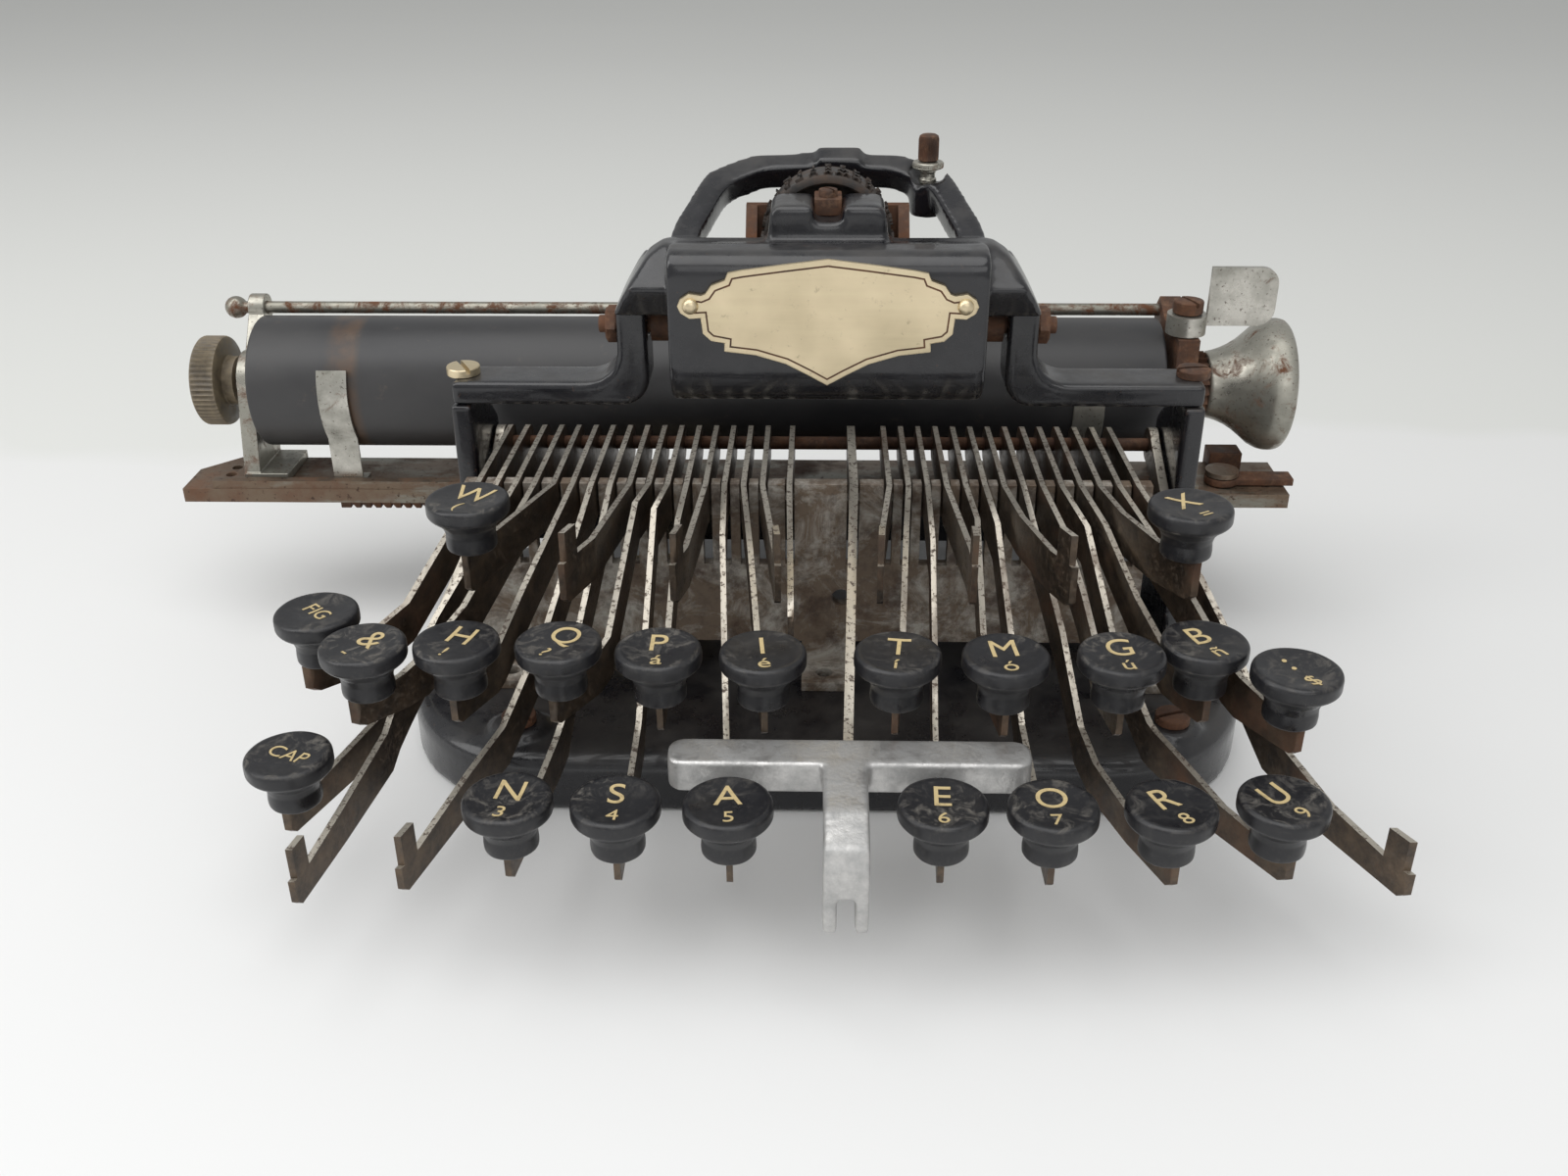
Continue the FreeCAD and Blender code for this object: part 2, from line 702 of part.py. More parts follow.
def top_frame():
    drum = prism_along_x([
        (drum_front, drum_bottom),
        (drum_rear, drum_bottom),
        (drum_rear, drum_top - drum_rear_drop),
        (drum_brow_y, drum_top),
        (drum_front, drum_top),
    ], -drum_half, drum_half)
    drum = rounded(drum, drum_bottom_curve, lambda e: is_along(e, AXIS_X)
                   and abs(e.BoundBox.ZMin - drum_bottom) < 1e-3)
    drum = rounded(drum, drum_top_curve, lambda e: is_along(e, AXIS_X)
                   and abs(e.BoundBox.ZMin - drum_top) < 1e-3
                   and abs(e.BoundBox.YMin - drum_front) < 1e-3)
    web_top = shoulder_z + shoulder_rise
    web = prism_along_x([(a * -drum_front, web_bottom + b * (web_top - web_bottom))
                         for a, b in web_outline_shares], -arm_outer, arm_outer)
    guard_foot = shoulder_z - guard_underside
    guard = prism_along_y([(a * guard_half, guard_foot + b * (guard_top - guard_foot))
                           for a, b in guard_outline_shares], guard_front, guard_rear)
    notch = box(-guard_notch_half, guard_notch_half, guard_front - overrun,
                guard_rear + overrun, guard_top - guard_notch_depth, guard_top + overrun)
    guard = rounded(guard, guard_curve, lambda e: is_along(e, AXIS_Y)
                    and e.BoundBox.ZMin > shoulder_z + shoulder_rise).cut(notch)
    ink_boss = rod(V(ink_post_x, ink_post_y, ink_boss_bottom), AXIS_Z, ink_boss_radius,
                   ink_boss_top - ink_boss_bottom)
    frame = fuse([side_arm(-1), side_arm(1), web, drum, guard, arch(), ink_boss])
    cuts = [rod(V(-foot_reach, swing_y, swing_z), AXIS_X, pivot_screw_radius + seat_fit,
                2 * foot_reach), sloped_shoulder(-1), sloped_shoulder(1)]
    for x in (-foot_screw_x, foot_screw_x):
        cuts.append(rod(V(x, foot_screw_y, foot_z - overrun), AXIS_Z, screw_radius + seat_fit,
                        foot_height + 2 * overrun))
    cuts.append(rod(V(ink_post_x, ink_post_y, ink_boss_bottom - overrun), AXIS_Z,
                    ink_post_radius + seat_fit, ink_boss_top - ink_boss_bottom + 2 * overrun))
    cuts.append(rod(V(ink_post_x, ink_post_y, ink_boss_top), AXIS_Z,
                    ink_collar_radius + body_gap, ink_spot_height))
    return [frame.cut(cuts)]


guard_underside = 2.5
guard_curve = 2.0
parts["top_frame"] = top_frame()

# Guard block: a square stud that sits in the notch of the guard
block_half = guard_notch_half
block_height = 5.4


def guard_block():
    bottom = guard_top - guard_notch_depth
    return [box(-block_half, block_half, guard_front, guard_rear, bottom, bottom + block_height)]


parts["guard_block"] = guard_block()

# Name plate: a stepped plate with two ears on the front of the drum
plate_thick = 1.2
plate_half = 29.3
plate_height = 25.4
plate_bottom = 81.9
plate_half_outline_shares = [
    (0.28, 0.96), (0.57, 0.915), (0.66, 0.895), (0.68, 0.84), (0.77, 0.80), (0.81, 0.735),
    (0.84, 0.72), (0.92, 0.735), (0.98, 0.69), (1.0, 0.635), (0.98, 0.58), (0.92, 0.535),
    (0.845, 0.54), (0.835, 0.42), (0.78, 0.36), (0.69, 0.34), (0.695, 0.275), (0.48, 0.245),
    (0.28, 0.175), (0.13, 0.085),
]


def name_plate():
    right = [(a * plate_half, plate_bottom + b * plate_height)
             for a, b in plate_half_outline_shares]
    left = [(-x, z) for x, z in right[::-1]]
    points = [(0, plate_bottom + plate_height)] + right + [(0, plate_bottom)] + left
    return [prism_along_y(points, drum_front - plate_thick, drum_front)]


parts["name_plate"] = name_plate()

# Pivot screws of the swing frame, with their nuts outside the arms
pivot_screw_tip = 32.0
pivot_nut_flats = 7.0
pivot_nut_height = 2.6
pivot_screw_end = 48.5


def pivot_screws():
    screws = []
    for side in (-1, 1):
        axis = AXIS_X * side
        pin = rod(V(side * pivot_screw_tip, swing_y, swing_z), axis, pivot_screw_radius,
                  pivot_screw_end - pivot_screw_tip)
        nut = hexagon(V(side * arm_outer, swing_y, swing_z), axis, pivot_nut_flats,
                      pivot_nut_height)
        screws.append(fuse([pin, nut]))
    return screws


parts["pivot_screws"] = pivot_screws()

# Swing frame: a tube between the pivot screws, two cheeks and a bar that carries the wheel
swing_tube_radius = 3.6
swing_tube_gap = 0.6
swing_bore_depth = 6.2
cheek_inner = 15.0
cheek_thick = 2.4
swing_bar_gap = 0.7
swing_bar_thick = 2.4
swing_bar_low = 5.0
swing_bar_high = 5.0
cheek_front = 4.0
wheel_shaft_radius = 2.0


def swing_frame():
    half = arm_inner - swing_tube_gap
    bar_front = wheel_y + wheel_length + swing_bar_gap
    bar_rear = bar_front + swing_bar_thick
    low = wheel_z - swing_bar_low
    high = wheel_z + swing_bar_high
    tube = rod(V(-half, swing_y, swing_z), AXIS_X, swing_tube_radius, 2 * half)
    pieces = [tube]
    side = [
        (swing_y - cheek_front, swing_z - cheek_front / 2),
        (swing_y - cheek_front / 2, swing_z - cheek_front),
        (swing_y + cheek_front / 2, swing_z - cheek_front),
        (bar_rear, low),
        (bar_rear, high),
        (bar_front, high),
        (swing_y - cheek_front, swing_z + cheek_front / 2),
    ]
    for x in (-cheek_inner - cheek_thick, cheek_inner):
        pieces.append(prism_along_x(side, x, x + cheek_thick))
    outer = cheek_inner + cheek_thick
    pieces.append(box(-outer, outer, bar_front, bar_rear, low, high))
    cuts = [rod(V(0, bar_front - overrun, wheel_z), AXIS_Y, wheel_shaft_radius + running_fit,
                swing_bar_thick + 2 * overrun)]
    for x in (-half - overrun, half - swing_bore_depth):
        cuts.append(rod(V(x, swing_y, swing_z), AXIS_X, pivot_screw_radius + running_fit,
                        swing_bore_depth + overrun))
    return [fuse(pieces).cut(cuts)]


parts["swing_frame"] = swing_frame()

# Type wheel: a drum with rows of raised characters, on its own shaft
wheel_characters = 28
wheel_rows = 3
wheel_relief = 0.8
wheel_groove = 0.8
wheel_web = 3.0
wheel_rim = 3.0
shaft_nose = 0.4
shaft_tail = 2.0
shaft_collar_radius = 3.6
shaft_collar_gap = 0.3


def type_wheel():
    rear = wheel_y + wheel_length
    wheel = rod(V(0, wheel_y, wheel_z), AXIS_Y, wheel_radius, wheel_length)
    hollow = rod(V(0, wheel_y - overrun, wheel_z), AXIS_Y, wheel_radius - wheel_rim,
                 wheel_length - wheel_web + overrun)
    cuts = [hollow]
    for i in range(wheel_characters):
        groove = box(-wheel_groove / 2, wheel_groove / 2, wheel_y - overrun, rear + overrun,
                     wheel_z + wheel_radius - wheel_relief, wheel_z + wheel_radius + overrun)
        groove.rotate(V(0, wheel_y, wheel_z), AXIS_Y, 360 * i / wheel_characters)
        cuts.append(groove)
    for row in range(1, wheel_rows):
        y = wheel_y + wheel_length * row / wheel_rows
        ring = rod(V(0, y - wheel_groove / 2, wheel_z), AXIS_Y, wheel_radius + overrun,
                   wheel_groove)
        cuts.append(ring.cut(rod(V(0, y - wheel_groove, wheel_z), AXIS_Y,
                                 wheel_radius - wheel_relief, 2 * wheel_groove)))
    wheel = wheel.cut(cuts)
    bar_rear = rear + swing_bar_gap + swing_bar_thick
    nose = guard_rear + shaft_nose
    shaft = rod(V(0, nose, wheel_z), AXIS_Y, wheel_shaft_radius, bar_rear + shaft_tail - nose)
    collar = rod(V(0, bar_rear + shaft_collar_gap, wheel_z), AXIS_Y, shaft_collar_radius,
                 shaft_tail - shaft_collar_gap)
    spacer = rod(V(0, rear, wheel_z), AXIS_Y, shaft_collar_radius,
                 swing_bar_gap - shaft_collar_gap)
    return [fuse([wheel, shaft, collar, spacer])]


parts["type_wheel"] = type_wheel()

# Ink post on the arch: a pin with a collar and a tall head
ink_collar_height = 1.7
ink_neck_height = 2.8
ink_head_radius = 2.2
ink_head_height = 5.6
ink_post_tail = 6.0


def ink_post():
    collar_z = ink_boss_top + ink_neck_height
    head_z = collar_z + ink_collar_height
    low = ink_boss_top - ink_post_tail
    pin = rod(V(ink_post_x, ink_post_y, low), AXIS_Z, ink_post_radius, head_z - low)
    collar = rod(V(ink_post_x, ink_post_y, collar_z), AXIS_Z, ink_collar_radius,
                 ink_collar_height)
    head = rod(V(ink_post_x, ink_post_y, head_z), AXIS_Z, ink_head_radius, ink_head_height)
    return [fuse([pin, collar, head])]


parts["ink_post"] = ink_post()

# Carriage track: a grooved bar on two legs behind the posts
track_half = 78.0
track_front = 29.0
track_rear = 43.0
track_bottom = 22.0
track_leg = 8.0
track_leg_inset = 8.0
rack_front = 34.6
rack_rear = 37.4
rack_height = 5.4
rack_pitch = 2.54
rack_tooth = 1.6
rack_left = -122.0
rack_right = 66.0
track_groove_floor = 6.0


def carriage_track():
    top = rail_z - body_gap
    bar = box(-track_half, track_half, track_front, track_rear, track_bottom, top)
    legs = []
    for x in (-track_half + track_leg_inset, track_half - track_leg_inset - track_leg):
        legs.append(box(x, x + track_leg, track_front, track_rear, base_height, track_bottom))
    groove = box(-track_half - overrun, track_half + overrun, rack_front - body_gap,
                 rack_rear + body_gap, rail_z - track_groove_floor, top + overrun)
    return [fuse([bar] + legs).cut(groove)]


parts["carriage_track"] = carriage_track()

# Rail of the carriage, with the strip along its front and the stud of the release lever
rail_chamfer = 8.0
rail_hole_radius = 1.3
rail_hole_inset = 9.0
rail_hole_places_shares = [0.22, 0.44, 0.66]
strip_left = -150.0
strip_right = 90.0
strip_front = 26.3
strip_width = 2.6
strip_height = 2.0
release_stud_x = 97.0
release_stud_y = 33.0
release_stud_radius = 1.8
release_thick = 1.8
release_radius = 4.0
release_end = 114.0
release_width = 5.0
release_cap = 1.2


def carriage_rail():
    top = rail_z + rail_thick
    rail = prism_along_z([
        (rail_left, rail_front),
        (rail_right, rail_front),
        (rail_right, rail_rear),
        (rail_left + rail_chamfer, rail_rear),
        (rail_left, rail_rear - rail_chamfer),
    ], rail_z, top)
    holes = []
    for share in rail_hole_places_shares:
        y = rail_front + share * (rail_rear - rail_front)
        holes.append(rod(V(rail_left + rail_hole_inset, y, rail_z - overrun), AXIS_Z,
                         rail_hole_radius, rail_thick + 2 * overrun))
    strip = box(strip_left, strip_right, strip_front, strip_front + strip_width, top,
                top + strip_height)
    stud = rod(V(release_stud_x, release_stud_y, top - overrun), AXIS_Z, release_stud_radius,
               overrun + body_gap + release_thick + body_gap)
    cap = rod(V(release_stud_x, release_stud_y, top + 2 * body_gap + release_thick), AXIS_Z,
              release_radius, release_cap)
    return [fuse([rail.cut(holes), strip, stud, cap])]


parts["carriage_rail"] = carriage_rail()


def carriage_rack():
    """The toothed tongue under the rail that runs in the groove of the track."""
    bottom = rail_z - rack_height
    points = [(rack_left, rail_z), (rack_left, bottom)]
    count = int((rack_right - rack_left) / rack_pitch) - 1
    for i in range(count):
        x = rack_left + rack_pitch * (i + 1)
        points += [(x, bottom), (x, bottom + rack_tooth)]
        points.append((x + rack_pitch / 2, bottom))
    points += [(rack_right, bottom), (rack_right, rail_z)]
    clean = [points[0]]
    for point in points[1:]:
        if math.dist(point, clean[-1]) > running_fit:
            clean.append(point)
    return [prism_along_y(clean, rack_front, rack_rear)]


parts["carriage_rack"] = carriage_rack()

# Platen: a rubber roller on a steel shaft that runs through both brackets
platen_shaft_radius = 3.0
left_bracket_x = -143.5
left_bracket_thick = 4.0
right_bracket_x = 82.0
right_bracket_thick = 5.0
bracket_front = 30.5
bracket_rear = 46.0
bracket_eye = 7.5
bracket_foot = 11.0
bracket_foot_height = 2.2
bracket_top = 73.5
paper_rod_y = 54.5
paper_rod_z = 73.5
paper_rod_radius = 1.5
paper_rod_eye = 3.4
left_knob_radius = 11.0
left_knob_left = -153.9
left_knob_right = -145.0
right_knob_radius = 16.0
right_knob_left = 92.0
right_knob_right = 111.0
ratchet_radius = 8.0
ratchet_teeth = 20
ratchet_depth = 1.4
ratchet_thick = 3.6


def platen():
    length = platen_right - platen_left
    roller = rod(V(platen_left, platen_y, platen_z), AXIS_X, platen_radius, length)
    bore = rod(V(platen_left - overrun, platen_y, platen_z), AXIS_X,
               platen_shaft_radius + seat_fit, length + 2 * overrun)
    return [roller.cut(bore)]


parts["platen"] = platen()


def platen_shaft():
    start = left_knob_left + overrun
    end = right_knob_right - overrun
    shaft = rod(V(start, platen_y, platen_z), AXIS_X, platen_shaft_radius, end - start)
    points = []
    for i in range(ratchet_teeth):
        angle = 2 * math.pi * i / ratchet_teeth
        for radius in (ratchet_radius, ratchet_radius - ratchet_depth):
            points.append((platen_y + radius * math.cos(angle),
                           platen_z + radius * math.sin(angle)))
    ratchet = prism_along_x(points, right_knob_left - ratchet_thick, right_knob_left)
    return [fuse([shaft, ratchet])]


parts["platen_shaft"] = platen_shaft()
shaft_bore = rod(V(left_knob_left + overrun, platen_y, platen_z), AXIS_X,
                 platen_shaft_radius + seat_fit,
                 right_knob_right - left_knob_left - 2 * overrun)

knurl_count = 24
knurl_depth = 0.7
knob_neck_radius = 6.0
knob_neck_length = 2.5
knob_edge = 1.0
bell_shares = [(0.5, 0.0), (0.58, 0.2), (0.72, 0.42), (0.93, 0.62), (1.0, 0.74), (1.0, 0.95),
               (0.94, 1.0)]
bell_recess_share = 0.82
bell_recess_depth = 2.0


def left_knob():
    points = []
    for i in range(knurl_count):
        for step, radius in ((0, left_knob_radius), (0.5, left_knob_radius - knurl_depth)):
            angle = 2 * math.pi * (i + step) / knurl_count
            points.append((platen_y + radius * math.cos(angle),
                           platen_z + radius * math.sin(angle)))
    disc = prism_along_x(points, left_knob_left, left_knob_right - knob_neck_length)
    neck = rod(V(left_knob_right - knob_neck_length, platen_y, platen_z), AXIS_X,
               knob_neck_radius, knob_neck_length)
    return [fuse([disc, neck]).cut(shaft_bore)]


parts["left_knob"] = left_knob()


def right_knob():
    length = right_knob_right - right_knob_left
    profile = [(0, 0)]
    profile += [(a * right_knob_radius, b * length) for a, b in bell_shares]
    recess = right_knob_radius * bell_recess_share
    profile += [(recess, length), (recess - knob_edge, length - bell_recess_depth),
                (0, length - bell_recess_depth)]
    knob = turned(profile, V(right_knob_left, platen_y, platen_z), AXIS_X)
    return [knob.cut(shaft_bore)]


parts["right_knob"] = right_knob()


def bracket_cuts(x, thickness):
    through = thickness + 2 * overrun
    return [
        rod(V(x - overrun, platen_y, platen_z), AXIS_X, platen_shaft_radius + running_fit,
            through),
        rod(V(x - overrun, paper_rod_y, paper_rod_z), AXIS_X, paper_rod_radius + seat_fit,
            through),
    ]


def left_bracket():
    x0 = left_bracket_x
    x1 = x0 + left_bracket_thick
    bottom = rail_z + rail_thick
    neck = bracket_eye * bracket_neck_share
    cheek = prism_along_x([(bracket_front, bottom), (bracket_rear, bottom),
                           (platen_y + bracket_eye, platen_z),
                           (platen_y - bracket_eye, platen_z)], x0, x1)
    eye = rod(V(x0, platen_y, platen_z), AXIS_X, bracket_eye, left_bracket_thick)
    arm = prism_along_x([(platen_y, platen_z + neck), (platen_y + neck, platen_z),
                         (paper_rod_y + paper_rod_eye, paper_rod_z),
                         (paper_rod_y, paper_rod_z + paper_rod_eye)], x0, x1)
    top_eye = rod(V(x0, paper_rod_y, paper_rod_z), AXIS_X, paper_rod_eye, left_bracket_thick)
    foot = box(x0, x0 + bracket_foot, bracket_front, bracket_rear, bottom,
               bottom + bracket_foot_height)
    return [fuse([cheek, eye, arm, top_eye, foot]).cut(bracket_cuts(x0, left_bracket_thick))]


bracket_neck_share = 0.6
parts["left_bracket"] = left_bracket()
line_screw_x = 84.5
line_screw_y = 36.0
line_screw_radius = 1.8
line_screw_depth = 5.0
bracket_brow = 3.0


def right_bracket():
    x0 = right_bracket_x
    x1 = x0 + right_bracket_thick
    bottom = rail_z + rail_thick
    cheek = prism_along_x([
        (bracket_front, bottom),
        (bracket_rear, bottom),
        (paper_rod_y + paper_rod_eye, platen_z - bracket_brow),
        (paper_rod_y + paper_rod_eye, paper_rod_z),
        (paper_rod_y, paper_rod_z + paper_rod_eye),
        (paper_rod_y - bracket_eye, bracket_top),
        (bracket_front, bracket_top),
    ], x0, x1)
    cuts = bracket_cuts(x0, right_bracket_thick)
    cuts.append(rod(V(line_screw_x, line_screw_y, bracket_top - line_screw_depth), AXIS_Z,
                    line_screw_radius + seat_fit, line_screw_depth + overrun))
    return [cheek.cut(cuts)]


parts["right_bracket"] = right_bracket()


def paper_rod():
    start = left_bracket_x - paper_rod_overhang
    end = right_bracket_x + right_bracket_thick
    bar = rod(V(start, paper_rod_y, paper_rod_z), AXIS_X, paper_rod_radius, end - start)
    ball = Part.makeSphere(paper_ball_radius, V(start, paper_rod_y, paper_rod_z))
    return [fuse([bar, ball])]


paper_rod_overhang = 4.0
paper_ball_radius = 2.8
parts["paper_rod"] = paper_rod()

# Paper fingers: bent straps that stand on the rail and hug the front of the platen
finger_places = [-117.0, 62.0]
finger_width = 7.2
finger_thick = 0.7
finger_gap = 0.35
finger_low_angle = 215.0
finger_high_angle = 152.0
finger_steps = 7
finger_foot = 6.0


def paper_finger(x):
    inner = platen_radius + finger_gap
    outer = inner + finger_thick
    angles = [math.radians(finger_low_angle + (finger_high_angle - finger_low_angle)
                           * i / finger_steps) for i in range(finger_steps + 1)]
    back = [(platen_y + inner * math.cos(a), platen_z + inner * math.sin(a)) for a in angles]
    front = [(platen_y + outer * math.cos(a), platen_z + outer * math.sin(a)) for a in angles]
    top = rail_z + rail_thick
    heel_y = front[0][0]
    points = front[::-1] + [(heel_y, top), (heel_y + finger_foot, top),
                            (heel_y + finger_foot, top + finger_thick),
                            (back[0][0], top + finger_thick)] + back
    return prism_along_x(points, x - finger_width / 2, x + finger_width / 2)


parts["paper_fingers"] = [paper_finger(x) for x in finger_places]

# Line-space lever: a flag on a hub that turns on a shouldered screw in the right bracket
line_hub_radius = 4.6
line_hub_height = 4.6
flag_reach = 20.0
flag_thick = 1.5
flag_low = 1.8
flag_height = 13.8
flag_corner = 4.0
line_screw_head = 3.5
line_screw_head_height = 3.0


def line_space_lever():
    base_z = bracket_top + body_gap
    hub = rod(V(line_screw_x, line_screw_y, base_z), AXIS_Z, line_hub_radius, line_hub_height)
    flag = box(line_screw_x, line_screw_x + flag_reach, line_screw_y - flag_thick / 2,
               line_screw_y + flag_thick / 2, base_z + flag_low, base_z + flag_low + flag_height)
    flag = rounded(flag, flag_corner, lambda e: is_along(e, AXIS_Y)
                   and e.BoundBox.XMin > line_screw_x + flag_reach / 2)
    clear = rod(V(line_screw_x, line_screw_y, base_z + line_hub_height), AXIS_Z,
                line_hub_radius, flag_height)
    bore = rod(V(line_screw_x, line_screw_y, base_z - overrun), AXIS_Z,
               line_screw_radius + running_fit, line_hub_height + 2 * overrun)
    return [fuse([hub, flag.cut(clear)]).cut(bore)]


parts["line_space_lever"] = line_space_lever()
parts["bracket_screw"] = [slotted_screw(
    V(line_screw_x, line_screw_y, bracket_top + line_hub_height + 2 * body_gap), AXIS_Z,
    line_screw_head, line_screw_head_height, line_screw_radius,
    line_screw_depth + line_hub_height + 2 * body_gap)]


def release_lever():
    """A flat lever on the end of the rail that frees the carriage."""
    base_z = rail_z + rail_thick + body_gap
    hub = rod(V(release_stud_x, release_stud_y, base_z), AXIS_Z, release_radius, release_thick)
    bar = box(release_stud_x, release_end, release_stud_y - release_width / 2,
              release_stud_y + release_width / 2, base_z, base_z + release_thick)
    bore = rod(V(release_stud_x, release_stud_y, base_z - overrun), AXIS_Z,
               release_stud_radius + running_fit, release_thick + 2 * overrun)
    return [fuse([hub, bar]).cut(bore)]


parts["release_lever"] = release_lever()

# Margin stop: a small block clamped over the rear edge of the rail
stop_x = 96.0
stop_width = 8.0
stop_height = 4.2
stop_depth = 4.5
stop_lip = 1.6


def margin_stop():
    top = rail_z + rail_thick
    block = box(stop_x, stop_x + stop_width, rail_rear - stop_depth, rail_rear + stop_lip, top,
                top + stop_height)
    lip = box(stop_x, stop_x + stop_width, rail_rear, rail_rear + stop_lip, rail_z, top)
    return [fuse([block, lip])]


parts["margin_stop"] = margin_stop()

# Spring drum that pulls the carriage: a grooved drum on a stud of the base
drum_radius = 14.0
drum_height = 9.0
drum_groove_depth = 1.4
drum_groove_height = 3.0


def spring_drum():
    bottom = base_height + body_gap
    middle = (drum_height - drum_groove_height) / 2
    profile = [
        (drum_stud_radius + running_fit, 0),
        (drum_radius, 0),
        (drum_radius, middle),
        (drum_radius - drum_groove_depth, middle),
        (drum_radius - drum_groove_depth, middle + drum_groove_height),
        (drum_radius, middle + drum_groove_height),
        (drum_radius, drum_height),
        (drum_stud_radius + running_fit, drum_height),
    ]
    return [turned(profile, V(drum_stud_x, drum_stud_y, bottom), AXIS_Z)]


parts["spring_drum"] = spring_drum()

os.makedirs("parts", exist_ok=True)
for name, solids in parts.items():
    Part.Compound(solids).exportStep(f"parts/{name}.step")
print(len(parts), "nodes")
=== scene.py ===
import math
import random

import bmesh
import bpy
from mathutils import Matrix, Vector


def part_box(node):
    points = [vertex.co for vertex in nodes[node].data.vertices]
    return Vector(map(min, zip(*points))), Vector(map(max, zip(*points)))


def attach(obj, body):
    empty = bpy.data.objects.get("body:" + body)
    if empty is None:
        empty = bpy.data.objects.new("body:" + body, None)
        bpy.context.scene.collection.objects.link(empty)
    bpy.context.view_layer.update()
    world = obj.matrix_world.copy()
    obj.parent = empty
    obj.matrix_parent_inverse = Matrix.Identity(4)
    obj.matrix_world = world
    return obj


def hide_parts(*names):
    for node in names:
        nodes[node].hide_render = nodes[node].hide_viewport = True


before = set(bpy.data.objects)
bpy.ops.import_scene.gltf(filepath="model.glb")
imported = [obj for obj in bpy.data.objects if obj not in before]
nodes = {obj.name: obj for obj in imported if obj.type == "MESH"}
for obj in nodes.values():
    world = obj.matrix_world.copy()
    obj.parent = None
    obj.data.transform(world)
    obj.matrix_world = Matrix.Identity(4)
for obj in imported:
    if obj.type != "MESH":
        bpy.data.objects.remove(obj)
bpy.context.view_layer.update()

MM = 0.001

# Colours as they render, before wear
JAPAN = (0.0085, 0.0085, 0.011)
EBONITE = (0.011, 0.011, 0.013)
DUST = (0.17, 0.155, 0.135)
RUST = (0.13, 0.055, 0.026)
RUST_DARK = (0.055, 0.03, 0.02)
RUST_PALE = (0.27, 0.15, 0.085)
STEEL_DARK = (0.075, 0.062, 0.052)
STEEL_BROWN = (0.17, 0.125, 0.088)
# Pale steel painted on the up-facing faces of the levers as a highlight
STEEL_HIGHLIGHT = (0.52, 0.48, 0.41)
NICKEL = (0.48, 0.46, 0.40)
NICKEL_BRIGHT = (0.55, 0.53, 0.48)
NICKEL_GREY = (0.34, 0.32, 0.27)
NICKEL_DULL = (0.24, 0.235, 0.2)
LIME = (0.46, 0.43, 0.38)
BRASS = (0.75, 0.63, 0.43)
BRASS_CLOUD = (0.64, 0.54, 0.36)
BRASS_BRUSHED = (0.78, 0.68, 0.46)
BRASS_DARK = (0.17, 0.12, 0.06)
ALUMINIUM = (0.59, 0.58, 0.565)
ALUMINIUM_DULL = (0.36, 0.36, 0.355)
RUBBER = (0.021, 0.021, 0.023)
RUBBER_BLOOM = (0.056, 0.054, 0.053)
RUBBER_SCUFF = (0.13, 0.1, 0.075)
RUBBER_BAND = (0.11, 0.06, 0.03)
WHEEL_BLACK = (0.018, 0.016, 0.015)
WHEEL_DIRT = (0.075, 0.05, 0.036)
KNOB = (0.08, 0.063, 0.042)
KNOB_WORN = (0.19, 0.15, 0.095)
KNOB_RIDGE = (0.26, 0.21, 0.14)
CREAM = (0.55, 0.43, 0.22)
CREAM_WORN = (0.24, 0.18, 0.1)


